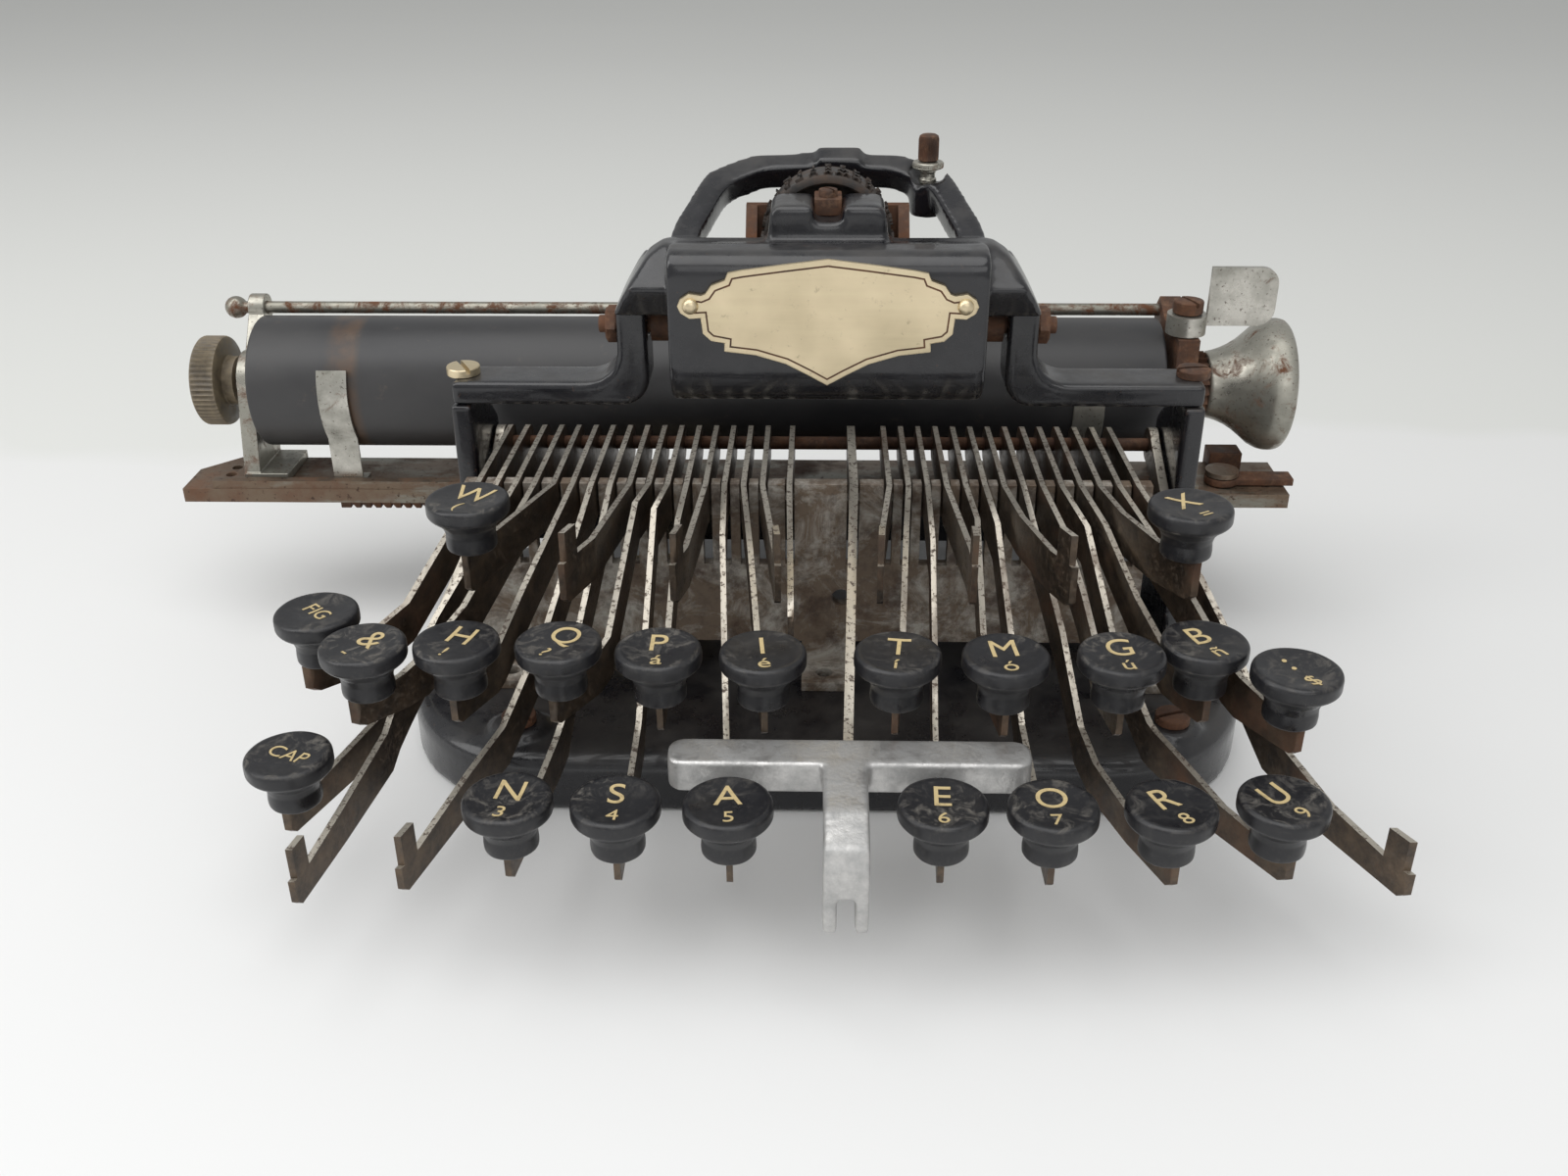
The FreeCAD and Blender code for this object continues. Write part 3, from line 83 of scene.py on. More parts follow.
class Shader:
    """Builds one procedural material on a Principled shader."""

    def __init__(self, name, roughness=0.5, metallic=0.0, coat=0.0, coat_roughness=0.1):
        self.material = bpy.data.materials.new(name)
        self.material.use_nodes = True
        self.tree = self.material.node_tree
        self.shader = self.tree.nodes["Principled BSDF"]
        self.shader.inputs["Roughness"].default_value = roughness
        self.shader.inputs["Metallic"].default_value = metallic
        self.shader.inputs["Coat Weight"].default_value = coat
        self.shader.inputs["Coat Roughness"].default_value = coat_roughness
        self.place = self.tree.nodes.new("ShaderNodeTexCoord").outputs["Object"]
        self.geometry = self.tree.nodes.new("ShaderNodeNewGeometry")

    def link(self, source, target):
        if isinstance(source, (int, float)):
            target.default_value = source
        elif isinstance(source, tuple):
            target.default_value = (*source, 1.0)
        else:
            self.tree.links.new(source, target)

    def stretched(self, scale):
        node = self.tree.nodes.new("ShaderNodeMapping")
        node.inputs["Scale"].default_value = scale
        self.tree.links.new(self.place, node.inputs["Vector"])
        return node.outputs["Vector"]

    def noise(self, scale, detail=4.0, rough=0.55, place=None, distortion=0.0):
        node = self.tree.nodes.new("ShaderNodeTexNoise")
        node.inputs["Scale"].default_value = scale
        node.inputs["Detail"].default_value = detail
        node.inputs["Roughness"].default_value = rough
        node.inputs["Distortion"].default_value = distortion
        self.tree.links.new(place or self.place, node.inputs["Vector"])
        return node.outputs["Fac"]

    def ramp(self, source, low, high, start=0.0, end=1.0):
        node = self.tree.nodes.new("ShaderNodeMapRange")
        self.link(source, node.inputs["Value"])
        node.inputs["From Min"].default_value = low
        node.inputs["From Max"].default_value = high
        node.inputs["To Min"].default_value = start
        node.inputs["To Max"].default_value = end
        return node.outputs["Result"]

    def maths(self, operation, a, b=0.0):
        node = self.tree.nodes.new("ShaderNodeMath")
        node.operation = operation
        node.use_clamp = True
        self.link(a, node.inputs[0])
        self.link(b, node.inputs[1])
        return node.outputs[0]

    def mix(self, factor, a, b):
        node = self.tree.nodes.new("ShaderNodeMix")
        node.data_type = "RGBA"
        self.link(factor, node.inputs["Factor"])
        self.link(a, node.inputs["A"])
        self.link(b, node.inputs["B"])
        return node.outputs["Result"]

    def axis_of(self, vector, axis):
        node = self.tree.nodes.new("ShaderNodeSeparateXYZ")
        self.tree.links.new(vector, node.inputs[0])
        return node.outputs[axis]

    def facing_up(self):
        return self.ramp(self.axis_of(self.geometry.outputs["Normal"], "Z"), 0.25, 0.95)

    def edges(self, low=0.52, high=0.6):
        return self.ramp(self.geometry.outputs["Pointiness"], low, high)

    def colour(self, source):
        self.link(source, self.shader.inputs["Base Color"])

    def roughness(self, source):
        self.link(source, self.shader.inputs["Roughness"])

    def metallic(self, source):
        self.link(source, self.shader.inputs["Metallic"])

    def bump(self, height, strength, distance):
        node = self.tree.nodes.new("ShaderNodeBump")
        node.inputs["Strength"].default_value = strength
        node.inputs["Distance"].default_value = distance
        self.tree.links.new(height, node.inputs["Height"])
        previous = self.shader.inputs["Normal"]
        if previous.links:
            self.tree.links.new(previous.links[0].from_socket, node.inputs["Normal"])
        self.tree.links.new(node.outputs["Normal"], previous)


def japan_material():
    """Black stoved varnish: glossy, dusty on top, brown where it has chipped."""
    s = Shader("japan", roughness=0.3, coat=0.3, coat_roughness=0.06)
    dust = s.maths("MULTIPLY", s.facing_up(), s.ramp(s.noise(70, 6, 0.65), 0.42, 0.72))
    chips = s.maths("MULTIPLY", s.edges(0.53, 0.6), s.ramp(s.noise(420, 5, 0.7), 0.52, 0.6))
    specks = s.ramp(s.noise(1100, 2, 0.5), 0.70, 0.74)
    chips = s.maths("ADD", chips, s.maths("MULTIPLY", specks, 0.5))
    colour = s.mix(s.maths("MULTIPLY", dust, 0.24), JAPAN, DUST)
    colour = s.mix(chips, colour, RUST_DARK)
    s.colour(colour)
    rough = s.ramp(s.noise(160, 5, 0.6), 0.3, 0.7, 0.16, 0.36)
    s.roughness(s.maths("ADD", rough, s.maths("MULTIPLY", dust, 0.4)))
    s.bump(s.noise(260, 4, 0.6), 0.25, 0.4 * MM)
    s.bump(chips, -0.4, 0.15 * MM)
    return s.material


def ebonite_material():
    """Moulded key caps: black, matt and dusty on top, pale at worn rims."""
    s = Shader("ebonite", roughness=0.34)
    s.shader.inputs["Specular IOR Level"].default_value = 0.5
    patch = s.ramp(s.noise(230, 8, 0.75, distortion=1.2), 0.5, 0.66)
    wide = s.ramp(s.noise(55, 3, 0.5), 0.36, 0.6)
    dust = s.maths("MULTIPLY", s.facing_up(), s.maths("MULTIPLY", patch, wide))
    fine = s.ramp(s.noise(900, 3, 0.6), 0.55, 0.75)
    dust = s.maths("ADD", s.maths("MULTIPLY", dust, 0.75), s.maths("MULTIPLY", fine, 0.1))
    rim = s.maths("MULTIPLY", s.edges(0.51, 0.58), s.ramp(s.noise(500, 4), 0.5, 0.6))
    colour = s.mix(dust, EBONITE, DUST)
    s.colour(s.mix(s.maths("MULTIPLY", rim, 0.5), colour, DUST))
    s.roughness(s.ramp(s.maths("ADD", dust, s.noise(240, 4)), 0.3, 1.1, 0.24, 0.75))
    s.bump(s.noise(620, 4, 0.6), 0.18, 0.12 * MM)
    return s.material


def steel_material(name, rust_amount):
    """Lever steel: dark sides, pale steel painted on up-facing faces as a highlight with rust specks in
    it, rust in patches.
    """
    s = Shader(name, roughness=0.5, metallic=0.75)
    along = s.stretched((1.0, 0.35, 0.5))
    patch = s.ramp(s.noise(90, 6, 0.65, along), 0.62 - rust_amount, 0.82 - rust_amount)
    speck = s.ramp(s.noise(900, 4, 0.75), 0.53, 0.6)
    # Painted highlight: faces that point up are given pale steel, less where rust lies
    top = s.ramp(s.axis_of(s.geometry.outputs["Normal"], "Z"), 0.55, 0.9)
    paler_share = s.maths("MULTIPLY", top, s.maths("SUBTRACT", 1.0, s.maths("MULTIPLY", patch, 0.8)))
    side = s.mix(s.ramp(s.noise(240, 5, 0.7), 0.35, 0.7), STEEL_DARK, STEEL_BROWN)
    side = s.mix(s.maths("MULTIPLY", patch, 0.85), side, RUST)
    highlight_colour = s.mix(s.maths("MULTIPLY", speck, 0.85), STEEL_HIGHLIGHT, RUST_DARK)
    s.colour(s.mix(paler_share, side, highlight_colour))
    rusty = s.maths("MAXIMUM", s.maths("MULTIPLY", patch, 0.9), s.maths("MULTIPLY", speck, 0.4))
    s.metallic(s.ramp(rusty, 0.0, 1.0, 0.85, 0.1))
    s.roughness(s.ramp(rusty, 0.0, 1.0, 0.36, 0.82))
    s.bump(s.noise(700, 5, 0.7), 0.35, 0.15 * MM)
    return s.material


def corroded_material():
    """Comb plate: bare steel with whitish bloom and brown rust."""
    s = Shader("corroded", roughness=0.7, metallic=0.25)
    bloom = s.ramp(s.noise(95, 7, 0.72, distortion=0.8), 0.45, 0.62)
    rust = s.ramp(s.noise(140, 6, 0.7), 0.5, 0.66)
    flecks = s.ramp(s.noise(600, 4, 0.7), 0.5, 0.62)
    colour = s.mix(bloom, STEEL_BROWN, LIME)
    colour = s.mix(s.maths("MULTIPLY", rust, 0.75), colour, RUST_DARK)
    colour = s.mix(s.maths("MULTIPLY", flecks, 0.35), colour, STEEL_DARK)
    s.colour(colour)
    s.roughness(s.ramp(bloom, 0.0, 1.0, 0.55, 0.85))
    s.bump(s.noise(480, 6, 0.7), 0.4, 0.2 * MM)
    return s.material


def nickel_material(name, rust_amount=0.12, base=NICKEL):
    """Nickel plate: hazy, pitted, with rust coming through."""
    s = Shader(name, roughness=0.35, metallic=0.9)
    haze = s.ramp(s.noise(120, 6, 0.65), 0.35, 0.7)
    rust = s.ramp(s.noise(210, 6, 0.72, distortion=0.5), 0.66 - rust_amount, 0.8 - rust_amount)
    pits = s.ramp(s.noise(1300, 3, 0.6), 0.62, 0.68)
    colour = s.mix(haze, base, NICKEL_DULL)
    colour = s.mix(s.maths("MULTIPLY", pits, 0.7), colour, RUST_DARK)
    colour = s.mix(rust, colour, RUST)
    s.colour(colour)
    worn = s.maths("MAXIMUM", rust, s.maths("MULTIPLY", haze, 0.45))
    s.metallic(s.ramp(worn, 0.0, 1.0, 0.95, 0.1))
    s.roughness(s.ramp(worn, 0.0, 1.0, 0.25, 0.85))
    s.bump(s.noise(800, 4, 0.6), 0.2, 0.1 * MM)
    return s.material


def rust_material(name, pale=0.35):
    """Rusted steel: dark and light brown patches, matt."""
    s = Shader(name, roughness=0.8, metallic=0.1)
    patch = s.ramp(s.noise(150, 7, 0.7, distortion=0.4), 0.35, 0.65)
    light = s.ramp(s.noise(420, 5, 0.7), 0.5, 0.7)
    colour = s.mix(patch, RUST_DARK, RUST)
    s.colour(s.mix(s.maths("MULTIPLY", light, pale), colour, RUST_PALE))
    s.metallic(s.ramp(patch, 0.0, 1.0, 0.35, 0.0))
    s.roughness(s.ramp(patch, 0.0, 1.0, 0.55, 0.9))
    s.bump(s.noise(900, 6, 0.75), 0.5, 0.15 * MM)
    return s.material


def rail_material():
    """Carriage rail: brown tarnish with plating left along the front strip."""
    s = Shader("rail", roughness=0.5, metallic=0.6)
    along = s.stretched((0.25, 1.0, 1.0))
    paler_share = s.ramp(s.noise(130, 6, 0.7, along), 0.48, 0.62)
    rust = s.ramp(s.noise(75, 6, 0.7), 0.45, 0.65)
    colour = s.mix(paler_share, STEEL_BROWN, NICKEL_DULL)
    colour = s.mix(s.maths("MULTIPLY", rust, 0.75), colour, RUST)
    s.colour(s.mix(s.ramp(s.noise(800, 4), 0.6, 0.7), colour, RUST_DARK))
    s.metallic(s.ramp(rust, 0.0, 1.0, 0.75, 0.15))
    s.roughness(s.ramp(rust, 0.0, 1.0, 0.4, 0.8))
    s.bump(s.noise(500, 5, 0.7), 0.3, 0.15 * MM)
    return s.material


def brass_material():
    """Old polished brass: brushed along X, cloudy, with small dark specks."""
    s = Shader("plate_brass", roughness=0.35, metallic=0.95)
    cloud = s.ramp(s.noise(60, 4, 0.55), 0.35, 0.7)
    speck = s.ramp(s.noise(420, 6, 0.75), 0.6, 0.72)
    brushed = s.noise(700, 3, 0.6, s.stretched((0.06, 1.0, 1.0)))
    colour = s.mix(cloud, BRASS, BRASS_CLOUD)
    colour = s.mix(s.maths("MULTIPLY", s.ramp(brushed, 0.4, 0.68), 0.35), colour, BRASS_BRUSHED)
    s.colour(s.mix(s.maths("MULTIPLY", speck, 0.55), colour, BRASS_DARK))
    s.roughness(s.ramp(cloud, 0.0, 1.0, 0.3, 0.46))
    s.metallic(s.ramp(speck, 0.0, 1.0, 0.95, 0.5))
    s.bump(brushed, 0.2, 0.08 * MM)
    s.bump(s.noise(420, 5, 0.65), 0.2, 0.1 * MM)
    return s.material


def aluminium_material():
    """Cast aluminium of the space bar: mottled, with file marks."""
    s = Shader("cast_aluminium", roughness=0.5, metallic=0.75)
    mottle = s.ramp(s.noise(260, 6, 0.7), 0.35, 0.7)
    file_marks = s.noise(900, 2, 0.5, s.stretched((0.2, 1.0, 0.6)))
    s.colour(s.mix(mottle, ALUMINIUM, ALUMINIUM_DULL))
    s.metallic(s.ramp(mottle, 0.0, 1.0, 0.85, 0.45))
    s.roughness(s.ramp(mottle, 0.0, 1.0, 0.36, 0.62))
    s.bump(s.noise(520, 5, 0.65), 0.55, 0.35 * MM)
    s.bump(file_marks, 0.15, 0.15 * MM)
    return s.material


BAND_START = -119.5 * MM
BAND_END = -112.5 * MM
BAND_FADE = 2.0 * MM


def rubber_material():
    """Hard old roller rubber: grey bloom, fine turning marks, scuffs and one brown band."""
    s = Shader("platen_rubber", roughness=0.45)
    rings = s.noise(900, 2, 0.5, s.stretched((1.0, 0.02, 0.02)))
    bloom = s.ramp(s.noise(26, 5, 0.6, s.stretched((0.6, 1.0, 1.0))), 0.35, 0.75)
    scuff = s.ramp(s.noise(160, 6, 0.75), 0.62, 0.74)
    colour = s.mix(bloom, RUBBER, RUBBER_BLOOM)
    colour = s.mix(s.maths("MULTIPLY", scuff, 0.4), colour, RUBBER_SCUFF)
    along = s.axis_of(s.place, "X")
    band = s.maths("MULTIPLY", s.ramp(along, BAND_START, BAND_START + BAND_FADE),
                   s.ramp(along, BAND_END, BAND_END + BAND_FADE, 1.0, 0.0))
    band = s.maths("MULTIPLY", band, s.ramp(s.noise(90, 5), 0.35, 0.6))
    colour = s.mix(s.maths("MULTIPLY", band, 0.7), colour, RUBBER_BAND)
    s.colour(colour)
    s.roughness(s.ramp(bloom, 0.0, 1.0, 0.36, 0.55))
    s.bump(rings, 0.12, 0.08 * MM)
    s.bump(s.noise(420, 4), 0.1, 0.1 * MM)
    return s.material


def wheel_material():
    """Type wheel: black with dried ink and dirt in its hollows."""
    s = Shader("type_wheel", roughness=0.6)
    dirt = s.ramp(s.noise(340, 6, 0.7), 0.4, 0.7)
    s.colour(s.mix(dirt, WHEEL_BLACK, WHEEL_DIRT))
    s.roughness(s.ramp(dirt, 0.0, 1.0, 0.42, 0.8))
    s.bump(s.noise(900, 5, 0.7), 0.4, 0.2 * MM)
    return s.material


def knob_material():
    """Old ebonite gone olive brown, paler where hands have worn its ridges."""
    s = Shader("knob_brown", roughness=0.5)
    worn = s.ramp(s.noise(210, 6, 0.7), 0.4, 0.66)
    ridge = s.maths("MULTIPLY", s.edges(0.5, 0.56), s.ramp(s.noise(90, 4), 0.35, 0.65))
    colour = s.mix(worn, KNOB, KNOB_WORN)
    s.colour(s.mix(s.maths("MULTIPLY", ridge, 0.7), colour, KNOB_RIDGE))
    s.roughness(s.ramp(worn, 0.0, 1.0, 0.36, 0.68))
    s.bump(s.noise(700, 5, 0.7), 0.3, 0.12 * MM)
    return s.material


def legend_material():
    """Cream filling of the characters on the caps, rubbed in places."""
    s = Shader("legend", roughness=0.5)
    worn = s.ramp(s.noise(800, 4, 0.6), 0.5, 0.75)
    s.colour(s.mix(s.maths("MULTIPLY", worn, 0.6), CREAM, CREAM_WORN))
    s.bump(s.noise(1200, 3), 0.1, 0.05 * MM)
    return s.material


japan = japan_material()
ebonite = ebonite_material()
lever_left = steel_material("lever_steel_left", 0.03)
lever_right = steel_material("lever_steel_right", 0.12)
corroded = corroded_material()
nickel = nickel_material("nickel")
nickel_pale = nickel_material("nickel_pale", 0.04, NICKEL_BRIGHT)
nickel_dull = nickel_material("nickel_dull", 0.2, NICKEL_GREY)
rust_dark = rust_material("rust", 0.25)
rust_screw = rust_material("rust_screw", 0.5)
rail_steel = rail_material()
brass = brass_material()
aluminium = aluminium_material()
rubber = rubber_material()
wheel_black = wheel_material()
legend = legend_material()
engraved = rust_material("engraved_line", 0.02)
knob_brown = knob_material()

# Geometry helpers: sizes in millimetres, results in metres
PLACES = 6
TINY = 1e-6
FLAT_WITHIN = math.radians(0.6)
STRAIGHT_WITHIN = math.radians(14)
EASE_STEPS = (0.0, 0.33, 0.67, 1.0)
EDGE_ANGLE = 24.0
AXES = {"X": Matrix(((0, 0, 1), (1, 0, 0), (0, 1, 0))).to_4x4(),
        "Y": Matrix(((1, 0, 0), (0, 0, 1), (0, -1, 0))).to_4x4(),
        "Z": Matrix.Identity(4)}


def add_piece(name, mesh, material, body, replaced=()):
    """Puts a mesh into the scene on one body, with its material."""
    obj = bpy.data.objects.new(name, mesh)
    bpy.context.scene.collection.objects.link(obj)
    mesh.materials.clear()
    mesh.materials.append(material)
    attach(obj, body)
    if replaced:
        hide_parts(*replaced)
    return obj


def finished(bm, name, sharp=38.0):
    """Turns a bmesh into a smooth mesh with sharp edges over an angle in degrees."""
    bmesh.ops.recalc_face_normals(bm, faces=bm.faces)
    mesh = bpy.data.meshes.new(name)
    bm.to_mesh(mesh)
    bm.free()
    mesh.shade_smooth()
    mesh.set_sharp_from_angle(angle=math.radians(sharp))
    return mesh


def weighted(obj):
    """Keeps the shading of large flat faces flat."""
    modifier = obj.modifiers.new("normals", "WEIGHTED_NORMAL")
    modifier.keep_sharp = True
    modifier.weight = 80
    return obj


def eased(profile, width, closed=False):
    """Rounds the corners of a profile with short curves."""
    count = len(profile)
    result = []
    for i, point in enumerate(profile):
        if not closed and i in (0, count - 1):
            result.append(point)
            continue
        here = Vector(point)
        before = Vector(profile[i - 1])
        after = Vector(profile[(i + 1) % count])
        if (here - before).angle(after - here, 0) < STRAIGHT_WITHIN:
            result.append(point)
            continue
        a = here + (before - here).normalized() * min(width, (before - here).length * 0.45)
        b = here + (after - here).normalized() * min(width, (after - here).length * 0.45)
        for t in EASE_STEPS:
            result.append(tuple((1 - t) ** 2 * a + 2 * t * (1 - t) * here + t * t * b))
    return result


def lathe(profile, place, axis="Z", segments=72, closed=False, wave=None, sharp=38.0,
          name="lathe"):
    """Turns (radius, height) points about an axis through place."""
    bm = bmesh.new()
    rings = []
    for radius, height in profile:
        if radius < TINY:
            rings.append([bm.verts.new((0, 0, height))])
            continue
        ring = []
        for k in range(segments):
            angle = 2 * math.pi * k / segments
            r = radius + (wave(angle, height, radius) if wave else 0)
            ring.append(bm.verts.new((r * math.cos(angle), r * math.sin(angle), height)))
        rings.append(ring)
    pairs = list(zip(rings, rings[1:]))
    if closed:
        pairs.append((rings[-1], rings[0]))
    for low, high in pairs:
        for k in range(segments):
            j = (k + 1) % segments
            corners = []
            for ring, picks in ((low, (k, j)), (high, (j, k))):
                for pick in picks:
                    vert = ring[pick % len(ring)]
                    if vert not in corners:
                        corners.append(vert)
            if len(corners) > 2:
                bm.faces.new(corners)
    turn = AXES[axis]
    bmesh.ops.transform(bm, matrix=Matrix.Translation(Vector(place) * MM) @ turn
                        @ Matrix.Scale(MM, 4), verts=bm.verts)
    return finished(bm, name, sharp)


def rounded_place(point):
    return tuple(round(c, PLACES) for c in point)


def closed_runs(mesh):
    """Splits a mesh's polygons, in their order, into the closed solids that they make."""
    places = [rounded_place(v.co) for v in mesh.vertices]
    loose, run, runs = set(), [], []
    for polygon in mesh.polygons:
        corners = [places[i] for i in polygon.vertices]
        for a, b in zip(corners, corners[1:] + corners[:1]):
            if a == b:
                continue
            if (b, a) in loose:
                loose.discard((b, a))
            else:
                loose.add((a, b))
        run.append(polygon)
        if not loose:
            runs.append(run)
            run = []
    if run:
        runs.append(run)
    return runs


def made_flat(bm):
    """Joins the triangles of each flat face."""
    bmesh.ops.dissolve_limit(bm, angle_limit=FLAT_WITHIN, verts=bm.verts, edges=bm.edges)
    return bm


def solid_of(mesh, run):
    """One solid with joined corners and its flat faces made whole again."""
    bm = bmesh.new()
    verts = {}
    for polygon in run:
        corners = []
        for i in polygon.vertices:
            place = rounded_place(mesh.vertices[i].co)
            if place not in verts:
                verts[place] = bm.verts.new(mesh.vertices[i].co)
            if verts[place] not in corners:
                corners.append(verts[place])
        if len(corners) > 2 and not bm.faces.get(corners):
            bm.faces.new(corners)
    return made_flat(bm)


def solids_of(node):
    """The node's solids as separate meshes, in the order of the part."""
    mesh = nodes[node].data
    return [solid_of(mesh, run) for run in closed_runs(mesh)]


def one_blade(solids):
    """Joins the straight runs of a lever, which meet face to face, into one skin."""
    faces = {}
    for bm in solids:
        for face in bm.faces:
            corners = [rounded_place(v.co) for v in face.verts]
            if frozenset(corners) in faces:
                del faces[frozenset(corners)]
            else:
                faces[frozenset(corners)] = corners
        bm.free()
    blade = bmesh.new()
    verts = {}
    for corners in faces.values():
        for place in corners:
            if place not in verts:
                verts[place] = blade.verts.new(place)
        blade.faces.new([verts[place] for place in corners])
    return made_flat(blade)


def lengthways(edge):
    """True for the edges of a blade that don't go straight across it inside its length."""
    a, b = edge.verts
    return abs(a.co.y - b.co.y) > TINY or len(edge.link_faces) != 2


def extent(group, axis):
    """The least and the greatest place of some verts along an axis."""
    values = [v.co[axis] for v in group]
    return min(values), max(values)


def soften(bm, width, angle=EDGE_ANGLE, segments=2, chosen=None):
    """Rounds the sharp edges of a mesh; width in millimetres."""
    edges = [e for e in bm.edges if len(e.link_faces) == 2
             and e.calc_face_angle(0) > math.radians(angle) and (chosen is None or chosen(e))]
    bmesh.ops.bevel(bm, geom=edges, offset=width * MM, segments=segments, profile=0.6,
                    affect="EDGES", clamp_overlap=True)


def refined(node, material, body, width, angle=EDGE_ANGLE):
    """A finer copy of a node's solids with rounded edges, in the node's place."""
    whole = bmesh.new()
    for bm in solids_of(node):
        soften(bm, width, angle)
        joined(whole, bm)
    name = node + "_body"
    return weighted(add_piece(name, finished(whole, name, 60.0), material, body, [node]))


def cast(node, material, body, voxel, passes, suffix="_cast", first=0):
    """A copy of a node's solids as a casting: remeshed evenly, all its edges smoothed."""
    whole = bmesh.new()
    for bm in solids_of(node)[first:]:
        joined(whole, bm)
    mesh = finished(whole, node + suffix, 180.0)
    obj = add_piece(node + suffix, mesh, material, body, [node])
    remesh = obj.modifiers.new("remesh", "REMESH")
    remesh.mode = "VOXEL"
    remesh.voxel_size = voxel * MM
    remesh.use_smooth_shade = True
    smooth = obj.modifiers.new("smooth", "SMOOTH")
    smooth.factor = 0.5
    smooth.iterations = passes
    graph = bpy.context.evaluated_depsgraph_get()
    made = bpy.data.meshes.new_from_object(obj.evaluated_get(graph))
    obj.modifiers.clear()
    obj.data = made
    made.shade_smooth()
    return obj


def joined(target, source):
    """Adds one bmesh to another."""
    mesh = bpy.data.meshes.new("joined")
    source.to_mesh(mesh)
    source.free()
    target.from_mesh(mesh)
    bpy.data.meshes.remove(mesh)


def text_mesh(words, size, thickness):
    """Letters as a mesh in the XY plane, centred, sizes in millimetres."""
    curve = bpy.data.curves.new("letters", "FONT")
    curve.body = words
    curve.size = size * MM
    curve.align_x = "CENTER"
    curve.align_y = "CENTER"
    curve.extrude = thickness * MM / 2
    curve.resolution_u = 6
    obj = bpy.data.objects.new("letters", curve)
    bpy.context.scene.collection.objects.link(obj)
    graph = bpy.context.evaluated_depsgraph_get()
    mesh = bpy.data.meshes.new_from_object(obj.evaluated_get(graph))
    bpy.data.objects.remove(obj)
    bpy.data.curves.remove(curve)
    return mesh


letter_store = {}


def letters(words, size, thickness, longest=0.0):
    """Centred letters in a bmesh, cut finer where longest (in millimetres) is given."""
    key = (words, size, thickness, longest)
    if key not in letter_store:
        bm = bmesh.new()
        bm.from_mesh(text_mesh(words, size, thickness))
        bmesh.ops.remove_doubles(bm, verts=bm.verts, dist=TINY)
        bmesh.ops.triangulate(bm, faces=bm.faces)
        for _ in range(3):
            long_edges = [e for e in bm.edges if longest and e.calc_length() > longest * MM]
            if not long_edges:
                break
            bmesh.ops.subdivide_edges(bm, edges=long_edges, cuts=1)
            bmesh.ops.triangulate(bm, faces=bm.faces)
        middle = Vector([sum(extent(bm.verts, i)) / 2 for i in range(3)])
        bmesh.ops.translate(bm, vec=-middle, verts=bm.verts)
        mesh = bpy.data.meshes.new("letters")
        bm.to_mesh(mesh)
        bm.free()
        letter_store[key] = mesh
    bm = bmesh.new()
    bm.from_mesh(letter_store[key])
    return bm


# Keys: steel blades, turned caps with a dished top, and filled legends
CAP_HEIGHT = 10.5
CAP_TOP_DROP = 0.08
CAP_SEGMENTS = 72
CAP_WOBBLE = 0.03
CAP_RIPPLE = 0.02
SPIN_RANGE = 6.28
DISH_RADIUS = 6.7
DISH_DEPTH = 0.55
DISH_SHARES = (0.97, 0.9, 0.75, 0.55, 0.35, 0.15)
BLADE_EASE = 0.14
BLADE_SHARP = 50.0
RUSTIER_FROM = 12.0 * MM
BEHIND_KEY = 4 * MM
BEND_REACH = 3 * MM
LEGEND_THICK = 0.08
LEGEND_LIFT = 0.05
LETTER_STEP = 0.9
WORD_SIZE, WORD_PLACE = 4.4, 0.3
MAIN_SIZE, MAIN_PLACE = 7.4, 2.2
SECOND_LETTER_SIZE, SECOND_SIGN_SIZE, SECOND_PLACE = 5.4, 4.6, -3.9


def dish_drop(share):
    """How far the dish lies under the cap's rim, at a share of its radius."""
    return DISH_DEPTH * (1 - share * share)


cap_profile = eased([(0, 0.05), (4.2, 0.05), (4.75, 0.45), (4.8, 1.6), (4.65, 3.4), (5.1, 4.9),
                     (6.1, 6.1), (7.1, 6.9), (7.5, 7.25), (7.8, 7.7), (7.8, 9.5), (7.65, 10.05),
                     (7.2, 10.36), (6.85, 10.42)], 0.3)
cap_profile += [(DISH_RADIUS * share, CAP_HEIGHT - CAP_TOP_DROP - dish_drop(share))
                for share in DISH_SHARES]
cap_profile += [(0, CAP_HEIGHT - CAP_TOP_DROP - DISH_DEPTH)]

legends = {
    "figures_shift_key": ("FIG", ""), "capitals_shift_key": ("CAP", ""),
    "key_w": ("W", "("), "key_x": ("X", "="), "key_ampersand": ("&", "-"),
    "key_h": ("H", "!"), "key_q": ("Q", "?"), "key_p": ("P", "á"), "key_i": ("I", "é"),
    "key_t": ("T", "í"), "key_m": ("M", "ó"), "key_g": ("G", "ú"), "key_b": ("B", "ñ"),
    "key_colon": (":", "$"), "key_n": ("N", "3"), "key_s": ("S", "4"), "key_a": ("A", "5"),
    "key_e": ("E", "6"), "key_o": ("O", "7"), "key_r": ("R", "8"), "key_u": ("U", "9"),
}
bare_keys = ["key_1", "key_2", "key_0"] + ["key_blank_%d" % i for i in range(1, 7)]


